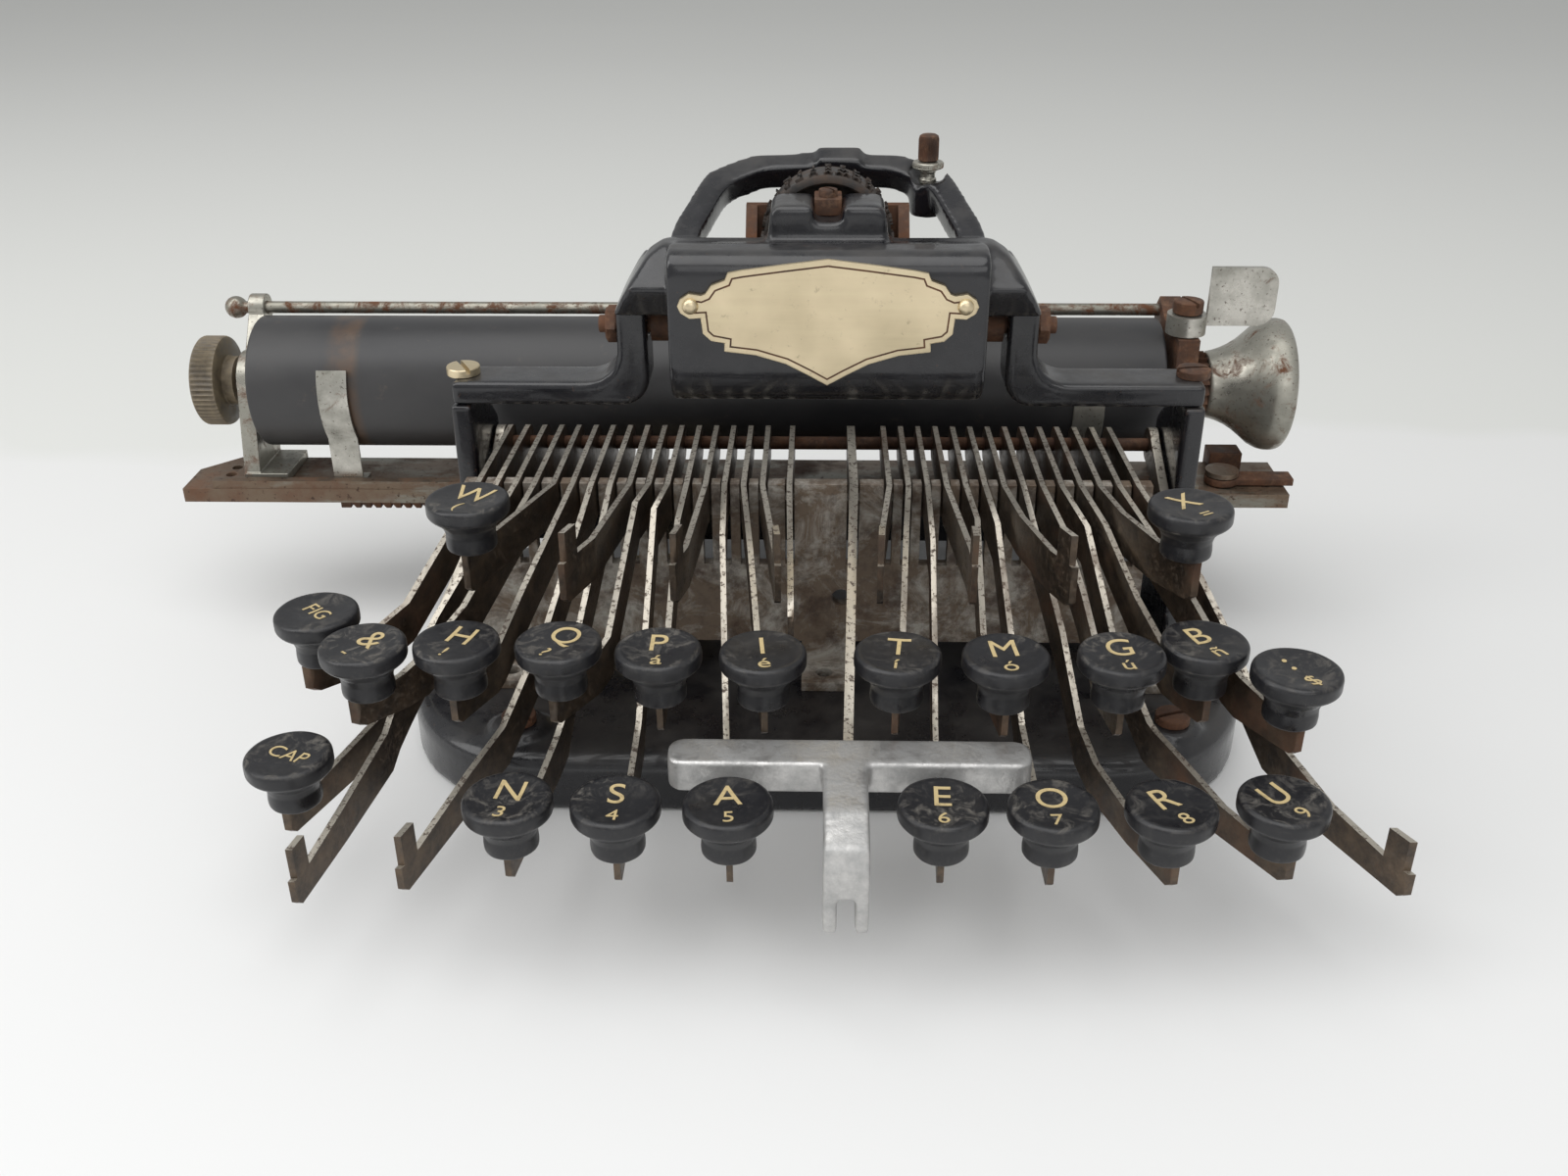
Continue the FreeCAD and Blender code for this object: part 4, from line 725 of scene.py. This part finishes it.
def legend_mesh(name, words, centre, heading, top):
    """Both characters of a key, laid on its dish; heading is the way to the lever's back."""
    main, second = words
    target = bmesh.new()
    rows = [(main, WORD_SIZE, WORD_PLACE) if len(main) > 1 else (main, MAIN_SIZE, MAIN_PLACE)]
    if second:
        size = SECOND_LETTER_SIZE if second.isalpha() else SECOND_SIGN_SIZE
        rows.append((second, size, SECOND_PLACE))
    for characters, size, offset in rows:
        bm = letters(characters, size, LEGEND_THICK, LETTER_STEP)
        bmesh.ops.translate(bm, vec=Vector((0, offset * MM, 0)), verts=bm.verts)
        joined(target, bm)
    turn = Matrix.Rotation(math.atan2(-heading.x, heading.y), 4, "Z")
    bmesh.ops.transform(target, matrix=turn, verts=target.verts)
    for vert in target.verts:
        reach = min(math.hypot(vert.co.x, vert.co.y) / (DISH_RADIUS * MM), 1.0)
        vert.co.z += (top - CAP_TOP_DROP - dish_drop(reach) + LEGEND_LIFT) * MM
    bmesh.ops.translate(target, vec=Vector((centre.x, centre.y, 0)), verts=target.verts)
    return finished(target, name, 30.0)


def cap_centre(cap):
    """The point under the middle of a key's cap, at its hub."""
    (x0, x1), (y0, y1) = (extent(cap.verts, i) for i in range(2))
    top = extent(cap.verts, 2)[1]
    return Vector(((x0 + x1) / 2, (y0 + y1) / 2, top - CAP_HEIGHT * MM))


def cap_mesh(key, centre):
    """A key's cap, each a little out of round in its own way."""
    spin = random.Random(key).random() * SPIN_RANGE

    def wave(angle, height, radius):
        return CAP_WOBBLE * math.sin(3 * angle + spin) + CAP_RIPPLE * math.sin(7 * angle + 2 * spin)
    mesh = lathe(cap_profile, (0, 0, 0), "Z", CAP_SEGMENTS, wave=wave, name=key + "_cap")
    mesh.transform(Matrix.Translation(centre))
    return mesh


def key_heading(points, centre):
    """The way from a key's centre to the nearest bend of its blade."""
    behind = [p for p in points if p.y > centre.y + BEHIND_KEY]
    nearest = min(p.y for p in behind)
    near = [p for p in behind if p.y < nearest + BEND_REACH]
    knee = Vector((sum(p.x for p in near) / len(near), sum(p.y for p in near) / len(near)))
    return (knee - centre.xy).normalized()


def blade_piece(name, bm, width, material, node):
    """A lever's blade with its long edges eased."""
    soften(bm, width, chosen=lengthways)
    weighted(add_piece(name, finished(bm, name, BLADE_SHARP), material, node, [node]))


for key in sorted(list(legends) + bare_keys):
    solids = solids_of(key)
    cap = solids.pop() if key in legends else None
    bm = one_blade(solids)
    points = [v.co.copy() for v in bm.verts]
    mean_x = sum(p.x for p in points) / len(points)
    steel = lever_right if mean_x > RUSTIER_FROM or "shift" in key else lever_left
    blade_piece(key + "_blade", bm, BLADE_EASE, steel, key)
    if cap is not None:
        centre = cap_centre(cap)
        cap.free()
        add_piece(key + "_cap", cap_mesh(key, centre), ebonite, key)
        mesh = legend_mesh(key + "_legend", legends[key], centre, key_heading(points, centre),
                           centre.z / MM + CAP_HEIGHT)
        add_piece(key + "_legend", mesh, legend, key)

# Base, comb, top frame, universal bar, centre lever and swing frame
cast("base_casting", japan, "base", 0.8, 5)
refined("comb_plate", corroded, "base", 0.15)
refined("carriage_track", japan, "base", 0.35)
cast("top_frame", japan, "base", 0.55, 22)
refined("universal_bar", lever_left, "universal_bar", 0.3)
blade_piece("centre_lever_blade", one_blade(solids_of("centre_lever")), BLADE_EASE, lever_left,
            "centre_lever")
refined("swing_frame", rust_dark, "swing_frame", 0.3)

# Space key: bright blade of all solids but the last two, which are the rough cast bar and tongue
SPACE_EASE = 0.2
solids = solids_of("space_key")
for other in solids[-2:]:
    other.free()
blade_piece("space_blade", one_blade(solids[:-2]), SPACE_EASE, lever_left, "space_key")
cast("space_key", aluminium, "space_key", 0.45, 10, "_bar", -2)

# Pieces of the carriage and its two levers, with the width of their eased edges
CARRIAGE_PIECES = [
    ("carriage_rail", rail_steel, "carriage", 0.2),
    ("carriage_rack", rust_dark, "carriage", 0.12),
    ("left_bracket", nickel, "carriage", 0.3),
    ("right_bracket", rust_screw, "carriage", 0.3),
    ("paper_fingers", nickel_pale, "carriage", 0.12),
    ("margin_stop", rust_screw, "carriage", 0.3),
    ("release_lever", rust_screw, "release_lever", 0.25),
    ("line_space_lever", nickel_pale, "line_space_lever", 0.3),
]
BENT_STRAP_ANGLE = 40.0
for node, material, body, width in CARRIAGE_PIECES:
    angle = BENT_STRAP_ANGLE if node == "paper_fingers" else EDGE_ANGLE
    refined(node, material, body, width, angle)


def span(node):
    """Where a node starts along X and how long it is, in millimetres."""
    low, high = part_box(node)
    return low.x / MM, (high.x - low.x) / MM


# Paper rod: a round rod with a ball at its left end
ROD_PLACE = (54.5, 73.5)
ROD_RADIUS, ROD_START = 1.48, 5.35
BALL_RADIUS, BALL_MIDDLE = 2.75, 2.8
BALL_ANGLES = range(0, 148, 8)
start, length = span("paper_rod")
ball = [(BALL_RADIUS * math.sin(math.radians(a)), BALL_MIDDLE - BALL_RADIUS * math.cos(math.radians(a)))
        for a in BALL_ANGLES]
rod_profile = ball + eased([(ROD_RADIUS, ROD_START), (ROD_RADIUS, length), (0, length)], 0.2)
add_piece("paper_rod_round", lathe(rod_profile, (start, *ROD_PLACE), "X", 40), nickel_dull,
          "carriage", ["paper_rod"])

# Platen: rubber sleeve, shaft with its ratchet, and two knobs
PLATEN_PLACE = (43.0, 58.4)
PLATEN_RADIUS, PLATEN_BORE = 15.9, 3.1
start, length = span("platen")
sleeve = eased([(PLATEN_BORE, 0), (PLATEN_RADIUS, 0), (PLATEN_RADIUS, length),
                (PLATEN_BORE, length)], 0.6)
add_piece("platen_sleeve", lathe(sleeve, (start, *PLATEN_PLACE), "X", 128, closed=True),
          rubber, "platen", ["platen"])

bm = solids_of("platen_shaft")[0]
soften(bm, 0.12, 30.0, 1)
add_piece("platen_shaft_body", finished(bm, "platen_shaft_body", 35.0), rust_screw, "platen",
          ["platen_shaft"])


def knurl(count, depth, low, high):
    """Grooves around a turned piece between two heights, as a wave for lathe."""
    def wave(angle, height, radius):
        inside = low < height < high
        return -depth * abs(math.sin(count * angle / 2)) if inside else 0.0
    return wave


start, length = span("left_knob")
knob = [(0, 0.5), (3.2, 0.5), (3.6, 0.9), (7.6, 0.9), (8.2, 0.35), (10.2, 0.1), (10.7, 0.5),
        (10.95, 0.9), (10.95, 2.0), (10.95, 3.2), (10.95, 4.5), (10.95, 5.5), (10.7, 6.0),
        (10.0, 6.35), (6.3, 6.4), (5.95, 6.8), (5.95, length), (0, length)]
add_piece("left_knob_round", lathe(knob, (start, *PLATEN_PLACE), "X", 216,
                                   wave=knurl(54, 0.45, 0.8, 5.6)),
          knob_brown, "platen", ["left_knob"])

start, length = span("right_knob")
bell = [(0, 0.05), (7.6, 0.05), (8.0, 0.5), (8.3, 2.0), (8.9, 3.8), (9.8, 5.8), (11.2, 8.0),
        (13.0, 10.2), (14.6, 12.0), (15.5, 13.6), (15.9, 15.2), (15.95, 16.8), (15.7, 18.1),
        (15.0, 18.8), (14.2, 18.95), (13.4, 18.8), (12.8, 18.2), (12.5, 17.4), (12.1, 17.05),
        (4.2, 17.0), (3.6, 17.3), (0, 17.4)]
add_piece("right_knob_bell", lathe(eased(bell, 0.5), (start, *PLATEN_PLACE), "X", 128,
                                   sharp=50.0),
          nickel, "platen", ["right_knob"])

# Lever pivot rod
LEVER_ROD_PLACE = (16.0, 53.5)
LEVER_ROD_RADIUS = 1.5
start, length = span("lever_pivot_rod")
rod_ends = eased([(0, 0), (LEVER_ROD_RADIUS, 0), (LEVER_ROD_RADIUS, length), (0, length)], 0.25)
add_piece("lever_pivot_rod_round", lathe(rod_ends, (start, *LEVER_ROD_PLACE), "X", 32),
          rust_screw, "base", ["lever_pivot_rod"])

# Spring drum
bm = solids_of("spring_drum")[0]
soften(bm, 0.3, 30.0)
weighted(add_piece("spring_drum_body", finished(bm, "spring_drum_body", 40.0), brass,
                   "spring_drum", ["spring_drum"]))

# Screws: radius and height of the head, width and depth of its slot
BIG_HEAD = (3.6, 2.0, 0.9, 0.9)
LINE_HEAD = (3.5, 3.0, 0.8, 1.0)
STUD_HEAD = (1.9, 1.7, 0.5, 0.5)
HEAD_CORNER = 0.15
DOME = 0.25
STUD_DOME = 0.3


def screw_mesh(centre, head, turn=0.0, dome=DOME):
    """A slotted screw head that stands on centre and points up."""
    radius, height, slot_width, slot_depth = head
    profile = [(0, 0), (radius - 0.1, 0), (radius, HEAD_CORNER), (radius, height - dome - HEAD_CORNER),
               (radius * 0.96, height - dome * 0.7), (radius * 0.75, height - dome * 0.3),
               (radius * 0.4, height - dome * 0.05), (0, height)]
    mesh = lathe(profile, (0, 0, 0), "Z", 48)
    bm = bmesh.new()
    bm.from_mesh(mesh)
    bpy.data.meshes.remove(mesh)
    wall = slot_width * MM / 2
    for place in (-wall, -wall * 1.08, wall, wall * 1.08):
        bmesh.ops.bisect_plane(bm, geom=bm.verts[:] + bm.edges[:] + bm.faces[:],
                               plane_co=(place, 0, 0), plane_no=(1, 0, 0))
    floor = (height - dome - slot_depth) * MM
    for vert in bm.verts:
        if abs(vert.co.x) < wall * 1.02 and vert.co.z > floor:
            vert.co.z = floor
    place = Matrix.Translation(Vector(centre) * MM)
    bmesh.ops.transform(bm, matrix=place @ Matrix.Rotation(turn, 4, "Z"), verts=bm.verts)
    return finished(bm, "screw", 30.0)


# Screws of the top frame's feet, and two on bosses of the base
BASE_WIDTH, BASE_DEPTH = 182, 107
FOOT_SCREW_X, FOOT_SCREW_Y, FOOT_SCREW_Z = 78.75, 2.0, 75.2
BOSS_TOP_Z = 14.1
BOSS_SCREW_SHARES = ((-0.352, -0.39), (0.4, -0.37))
for index, side in enumerate((-1, 1)):
    mesh = screw_mesh((side * FOOT_SCREW_X, FOOT_SCREW_Y, FOOT_SCREW_Z), BIG_HEAD,
                      0.5 + index * 1.2)
    add_piece("foot_screw_%d" % index, mesh, brass if side < 0 else rust_screw, "base",
              ["frame_screws"])
for index, (across, deep) in enumerate(BOSS_SCREW_SHARES):
    mesh = screw_mesh((across * BASE_WIDTH, deep * BASE_DEPTH, BOSS_TOP_Z), BIG_HEAD, 0.9 + index)
    add_piece("boss_screw_%d" % index, mesh, rust_dark, "base")

# Square stud with a screw, low in the notch of the guard
STUD_DEPTH, STUD_HEIGHT = 7.0, 3.6
STUD_SCREW_FORWARD = 1.2
STUD_SCREW_SUNK = 0.1
low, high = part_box("guard_block")
bm = bmesh.new()
bmesh.ops.create_cube(bm, size=1.0)
size = Vector((high.x - low.x, STUD_DEPTH * MM, STUD_HEIGHT * MM))
bmesh.ops.scale(bm, vec=size, verts=bm.verts)
middle = Vector(((low.x + high.x) / 2, high.y - STUD_DEPTH / 2 * MM, low.z + STUD_HEIGHT / 2 * MM))
bmesh.ops.translate(bm, vec=middle, verts=bm.verts)
soften(bm, 0.35, 30.0, 3)
add_piece("guard_stud", finished(bm, "guard_stud", 50.0), rust_screw, "base",
          ["guard_block"])
screw_place = (middle.x / MM, middle.y / MM - STUD_SCREW_FORWARD,
               low.z / MM + STUD_HEIGHT - STUD_SCREW_SUNK)
add_piece("guard_stud_screw", screw_mesh(screw_place, STUD_HEAD, 0.7, STUD_DOME), rust_screw,
          "base")

# Shouldered screw of the line-space lever
LINE_SCREW = (84.5, 36.0)
LINE_NECK_Z, LINE_HEAD_Z = 68.6, 78.7
LINE_NECK_RADIUS, LINE_NECK_LENGTH = 1.8, 10.2
neck = eased([(0, 0), (LINE_NECK_RADIUS, 0), (LINE_NECK_RADIUS, LINE_NECK_LENGTH),
              (0, LINE_NECK_LENGTH)], 0.2)
add_piece("line_screw_neck", lathe(neck, (*LINE_SCREW, LINE_NECK_Z), "Z", 32), rust_screw,
          "carriage", ["bracket_screw"])
add_piece("line_screw_head", screw_mesh((*LINE_SCREW, LINE_HEAD_Z), LINE_HEAD, 0.4), rust_screw,
          "carriage")


def nut_mesh(centre, axis, flats, height, hole=0.0):
    """A hexagon nut with chamfered corners."""
    corner = flats / math.sqrt(3)
    profile = [(hole, 0), (flats / 2 * 0.96, 0), (corner, height * 0.16),
               (corner, height * 0.84), (flats / 2 * 0.96, height), (hole, height)]

    def flat(angle, level, radius):
        if radius < flats / 2 * 0.9:
            return 0.0
        side = (angle % (math.pi / 3)) - math.pi / 6
        return min(radius, flats / 2 / math.cos(side)) - radius
    return lathe(profile, centre, axis, 72, wave=flat, sharp=20.0)


# Pivot screws of the swing frame: side, where the pin and its nut start along X
SWING_PLACE = (2.0, 86.5)
PIN_RADIUS, PIN_LENGTH = 1.85, 16.5
NUT_FLATS, NUT_HEIGHT, NUT_HOLE = 7.0, 2.6, 1.7
PIVOTS = (("left", -48.5, -46.9), ("right", 32.0, 44.3))
pin = eased([(0, 0), (PIN_RADIUS, 0), (PIN_RADIUS, PIN_LENGTH), (0, PIN_LENGTH)], 0.3)
for side, pin_x, nut_x in PIVOTS:
    add_piece("pivot_pin_" + side, lathe(pin, (pin_x, *SWING_PLACE), "X", 32), rust_screw, "base",
              ["pivot_screws"])
    nut = nut_mesh((nut_x, *SWING_PLACE), "X", NUT_FLATS, NUT_HEIGHT, NUT_HOLE)
    add_piece("pivot_nut_" + side, nut, rust_screw, "base")

# Name plate: stepped brass plate with an engraved line inside its edge, and two rivets
FACING_FRONT = -0.9
SAME_PLANE = 0.01 * MM
LINE_OUT, LINE_IN = 1.05, 1.4
LINE_LIFT = 0.02
RIVET_X, RIVET_Y, RIVET_Z = 26.7, -23.0, 98.1
RIVET = [(1.6, -0.6), (1.6, 0.4), (1.4, 0.95), (1.0, 1.3), (0.5, 1.46), (0, 1.5)]


def rim_of(bm, level):
    """The outline of the flat front at a level of Y: points (x, z) in millimetres, in order."""
    flat = [f for f in bm.faces if f.normal.y < FACING_FRONT
            and abs(f.calc_center_median().y - level) < SAME_PLANE]
    chosen = set(flat)
    following = {}
    for face in flat:
        for loop in face.loops:
            if sum(f in chosen for f in loop.edge.link_faces) == 1:
                following[loop.vert] = loop.link_loop_next.vert
    here = next(iter(following))
    points = []
    while here in following:
        points.append(Vector((here.co.x, here.co.z)) / MM)
        here = following.pop(here)
    return points


def inset_loop(points, distance):
    """The closed outline moved inwards."""
    area = sum(a.x * b.y - b.x * a.y for a, b in zip(points, points[1:] + points[:1]))
    side = 1 if area > 0 else -1
    moved = []
    for i, here in enumerate(points):
        before = (here - points[i - 1]).normalized()
        after = (points[(i + 1) % len(points)] - here).normalized()
        normal = (Vector((-before.y, before.x)) + Vector((-after.y, after.x))) * side
        reach = max(normal.length_squared / 2, 0.6)
        moved.append(here + normal * distance / reach)
    return moved


bm = solids_of("name_plate")[0]
front_y = min(f.calc_center_median().y for f in bm.faces if f.normal.y < FACING_FRONT)
rim = rim_of(bm, front_y)
soften(bm, 0.3, 60.0, 2)
weighted(add_piece("name_plate_face", finished(bm, "name_plate_face", 50.0), brass, "base",
                   ["name_plate"]))

bm = bmesh.new()
outer, inner = [[bm.verts.new((p.x * MM, front_y - LINE_LIFT * MM, p.y * MM))
                 for p in inset_loop(rim, distance)] for distance in (LINE_OUT, LINE_IN)]
for i in range(len(rim)):
    j = (i + 1) % len(rim)
    bm.faces.new((outer[i], outer[j], inner[j], inner[i]))
add_piece("name_plate_line", finished(bm, "name_plate_line"), engraved, "base")

for index, side in enumerate((-1, 1)):
    rivet = lathe(RIVET, (side * RIVET_X, RIVET_Y, RIVET_Z), "Y", 32)
    rivet.transform(Matrix.Translation((0, RIVET_Y * MM, 0)) @ Matrix.Scale(-1, 4, (0, 1, 0))
                    @ Matrix.Translation((0, -RIVET_Y * MM, 0)))
    rivet.flip_normals()
    add_piece("plate_rivet_%d" % index, rivet, brass, "base")

# Type wheel: hollow drum with three rows of raised mirrored characters, on its shaft
WHEEL_PLACE = (0, 5.5, 103.5)
WHEEL_CORE = 13.35
COLUMNS = 28
GLYPH_SIZE, GLYPH_THICK, GLYPH_SUNK = 3.1, 0.9, 0.15
GLYPH_BEND = 13.5
FIRST_ROW, ROW_PITCH = 1.55, 2.95
ROWS = ("ABCDEFGHIJKLMNOPQRSTUVWXYZ&.", "abcdefghijklmnopqrstuvwxyz,;",
        "1234567890?!()-=+:%/12345678")
wheel = [(0, -0.5), (1.8, -0.5), (2.0, -0.3), (2.0, 6.0), (10.8, 6.0), (11.1, 5.6),
         (11.4, 0.4), (11.8, 0.0), (12.8, 0.0), (WHEEL_CORE, 0.3), (WHEEL_CORE, 8.7),
         (12.8, 9.0), (3.6, 9.0), (3.6, 9.4), (2.0, 9.4), (2.0, 12.4), (3.4, 12.4), (3.6, 12.6),
         (3.6, 13.9), (3.4, 14.1), (0, 14.1)]
bm = bmesh.new()
core = lathe(wheel, (0, 0, 0), "Z", 112)
core.transform(Matrix.Scale(1 / MM, 4))
bm.from_mesh(core)
bpy.data.meshes.remove(core)
for row, characters in enumerate(ROWS):
    for column, character in enumerate(characters):
        glyph = letters(character, GLYPH_SIZE, GLYPH_THICK)
        turn = 2 * math.pi * column / COLUMNS
        for vert in glyph.verts:
            x, y, z = vert.co / MM
            angle = turn - x / GLYPH_BEND
            radius = WHEEL_CORE + GLYPH_SUNK + z
            level = FIRST_ROW + row * ROW_PITCH - y
            vert.co = (radius * math.cos(angle), radius * math.sin(angle), level)
        joined(bm, glyph)
place = Matrix.Translation(Vector(WHEEL_PLACE) * MM) @ AXES["Y"]
bmesh.ops.transform(bm, matrix=place @ Matrix.Scale(MM, 4), verts=bm.verts)
mesh = bpy.data.meshes.new("type_wheel_round")
bm.to_mesh(mesh)
bm.free()
mesh.shade_smooth()
mesh.set_sharp_from_angle(angle=math.radians(35))
add_piece("type_wheel_round", mesh, wheel_black, "type_wheel", ["type_wheel"])

# Ink post: a knurled head over a wide collar on a threaded pin
POST = (21.6, 23.5)
BOSS_TOP = 111.5
HEAD_HEIGHT = 5.6
COLLAR_RISE = 2.8
THREAD_PITCH = 0.5
THREAD_ROOT, THREAD_CREST = (1.35, 0.05), (1.6, 0.3)
low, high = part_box("ink_post")
head = [(0, 0), (1.7, 0), (2.15, 0.3), (2.2, 1.0), (2.2, 2.2), (2.2, 3.4), (2.2, 4.6),
        (2.0, 5.3), (1.5, HEAD_HEIGHT), (0, HEAD_HEIGHT)]
add_piece("ink_post_head", lathe(head, (*POST, high.z / MM - HEAD_HEIGHT), "Z", 120,
                                 wave=knurl(30, 0.2, 0.4, 4.8)),
          rust_screw, "base", ["ink_post"])
collar = eased([(0, 0), (2.4, 0), (3.3, 0.35), (3.4, 0.6), (3.4, 1.3), (3.1, 1.65), (0, 1.7)],
               0.15)
add_piece("ink_post_collar", lathe(collar, (*POST, BOSS_TOP + COLLAR_RISE), "Z", 120,
                                   wave=knurl(44, 0.12, 0.5, 1.4)), nickel, "base")
neck = eased([(0, 0), (1.9, 0), (1.9, 0.8), (1.6, 1.1), (1.6, 2.0), (1.85, 2.4), (1.85, 2.9),
              (0, 2.9)], 0.12)
add_piece("ink_post_neck", lathe(neck, (*POST, BOSS_TOP), "Z", 48), nickel, "base")
pin_low = low.z / MM
turns = int((BOSS_TOP - pin_low) / THREAD_PITCH)
thread = [(0, 0)]
for i in range(turns):
    thread += [(radius, i * THREAD_PITCH + rise) for radius, rise in (THREAD_ROOT, THREAD_CREST)]
thread += [(THREAD_ROOT[0], turns * THREAD_PITCH), (0, turns * THREAD_PITCH)]
add_piece("ink_post_pin", lathe(thread, (*POST, pin_low), "Z", 32), nickel, "base")

# Floor, with painted shade: greyer towards the back, and a darker grey past a soft line behind
# the machine that stands in for the shaded corner of floor and wall. Places along Y are shares of two
# metres, from one metre in front.
FLOOR_REACH = 3.0
FLOOR_DROP = 0.2
FLOOR_LINE = 0.165
SHADE_LINE_BEFORE, SHADE_LINE_AFTER = 0.006, 0.002
# Plain floor grey, then painted shade: the grey it darkens to towards the back, and the darker greys
# past the line
FLOOR_NEAR, FLOOR_NEAR_SHADE = (0.84, 0.84, 0.84), (0.74, 0.74, 0.73)
FLOOR_FAR_SHADE, FLOOR_FAR_DEEP_SHADE = (0.70, 0.705, 0.68), (0.64, 0.64, 0.62)


def floor_material():
    """Matt studio floor with painted shade: greys that darken slowly towards the back, and a darker
    grey past the line.
    """
    s = Shader("floor", roughness=0.85)
    mottle = s.ramp(s.noise(4.0, 3, 0.5), 0.3, 0.7, -0.02, 0.02)
    far = s.maths("ADD", s.ramp(s.axis_of(s.place, "Y"), -1.0, 1.0), mottle)
    # Painted shade: the floor darkens towards the back and steps to a darker grey past a soft line, in
    # place of the shaded corner of floor and wall
    near_floor_and_shade = s.mix(s.ramp(far, 0.33, 0.58), FLOOR_NEAR, FLOOR_NEAR_SHADE)
    line = (FLOOR_LINE + 1.0) / 2.0
    far_shade_share = s.ramp(far, line - SHADE_LINE_BEFORE, line + SHADE_LINE_AFTER)
    far_shade = s.mix(s.ramp(far, line, line + 0.5), FLOOR_FAR_SHADE, FLOOR_FAR_DEEP_SHADE)
    s.colour(s.mix(far_shade_share, near_floor_and_shade, far_shade))
    s.bump(s.noise(60, 4), 0.05, 1.0 * MM)
    return s.material


bm = bmesh.new()
corners = [(-1, -1), (1, -1), (1, 1), (-1, 1)]
bm.faces.new([bm.verts.new((x * FLOOR_REACH, y * FLOOR_REACH, -FLOOR_DROP * MM))
              for x, y in corners])
mesh = bpy.data.meshes.new("studio_floor")
bm.to_mesh(mesh)
bm.free()
mesh.materials.append(floor_material())
floor = bpy.data.objects.new("studio_floor", mesh)
bpy.context.scene.collection.objects.link(floor)


def lamp(name, place, target, size, watts):
    """A soft rectangular light at a place, aimed at a target."""
    data = bpy.data.lights.new(name, "AREA")
    data.shape = "RECTANGLE"
    data.size, data.size_y = size
    data.energy = watts
    obj = bpy.data.objects.new(name, data)
    bpy.context.scene.collection.objects.link(obj)
    obj.location = place
    obj.rotation_mode = "QUATERNION"
    obj.rotation_quaternion = (Vector(target) - Vector(place)).to_track_quat("-Z", "Y")


# Lights, in metres and watts
lamp("top_light", (-0.15, -0.25, 1.05), (0, 0, 0.03), (1.3, 1.0), 8.0)
lamp("left_light", (-0.95, -0.35, 0.65), (0, 0, 0.05), (0.6, 0.8), 3.4)
lamp("front_light", (0.25, -1.1, 0.55), (0, 0, 0.05), (0.9, 0.5), 1.8)

WORLD_COLOUR = (0.85, 0.86, 0.86, 1)
WORLD_STRENGTH = 0.58
world = bpy.data.worlds.new("studio")
bpy.context.scene.world = world
world.use_nodes = True
backing = world.node_tree.nodes["Background"]
backing.inputs["Color"].default_value = WORLD_COLOUR
backing.inputs["Strength"].default_value = WORLD_STRENGTH

# Camera, in metres and degrees, fitted to the photograph
CAMERA_PLACE = (-0.0015, -0.300, 0.184)
CAMERA_PITCH, CAMERA_YAW, CAMERA_ROLL = 28.07, 1.5, -0.3
camera_data = bpy.data.cameras.new("camera")
camera_data.sensor_width = 36.0
camera_data.lens = 33.75
camera_data.clip_start = 0.01
camera = bpy.data.objects.new("camera", camera_data)
bpy.context.scene.collection.objects.link(camera)
bpy.context.scene.camera = camera
pitch, yaw, roll = (math.radians(v) for v in (CAMERA_PITCH, CAMERA_YAW, CAMERA_ROLL))
look = (Matrix.Rotation(yaw, 3, "Z") @ Matrix.Rotation(math.pi / 2 - pitch, 3, "X")
        @ Matrix.Rotation(roll, 3, "Z"))
camera.matrix_world = Matrix.Translation(CAMERA_PLACE) @ look.to_4x4()

bpy.context.scene.view_settings.view_transform = "Standard"

# Any solid of the part that no piece replaces
for obj in nodes.values():
    if not obj.hide_render and not obj.data.materials:
        obj.data.materials.append(nickel)
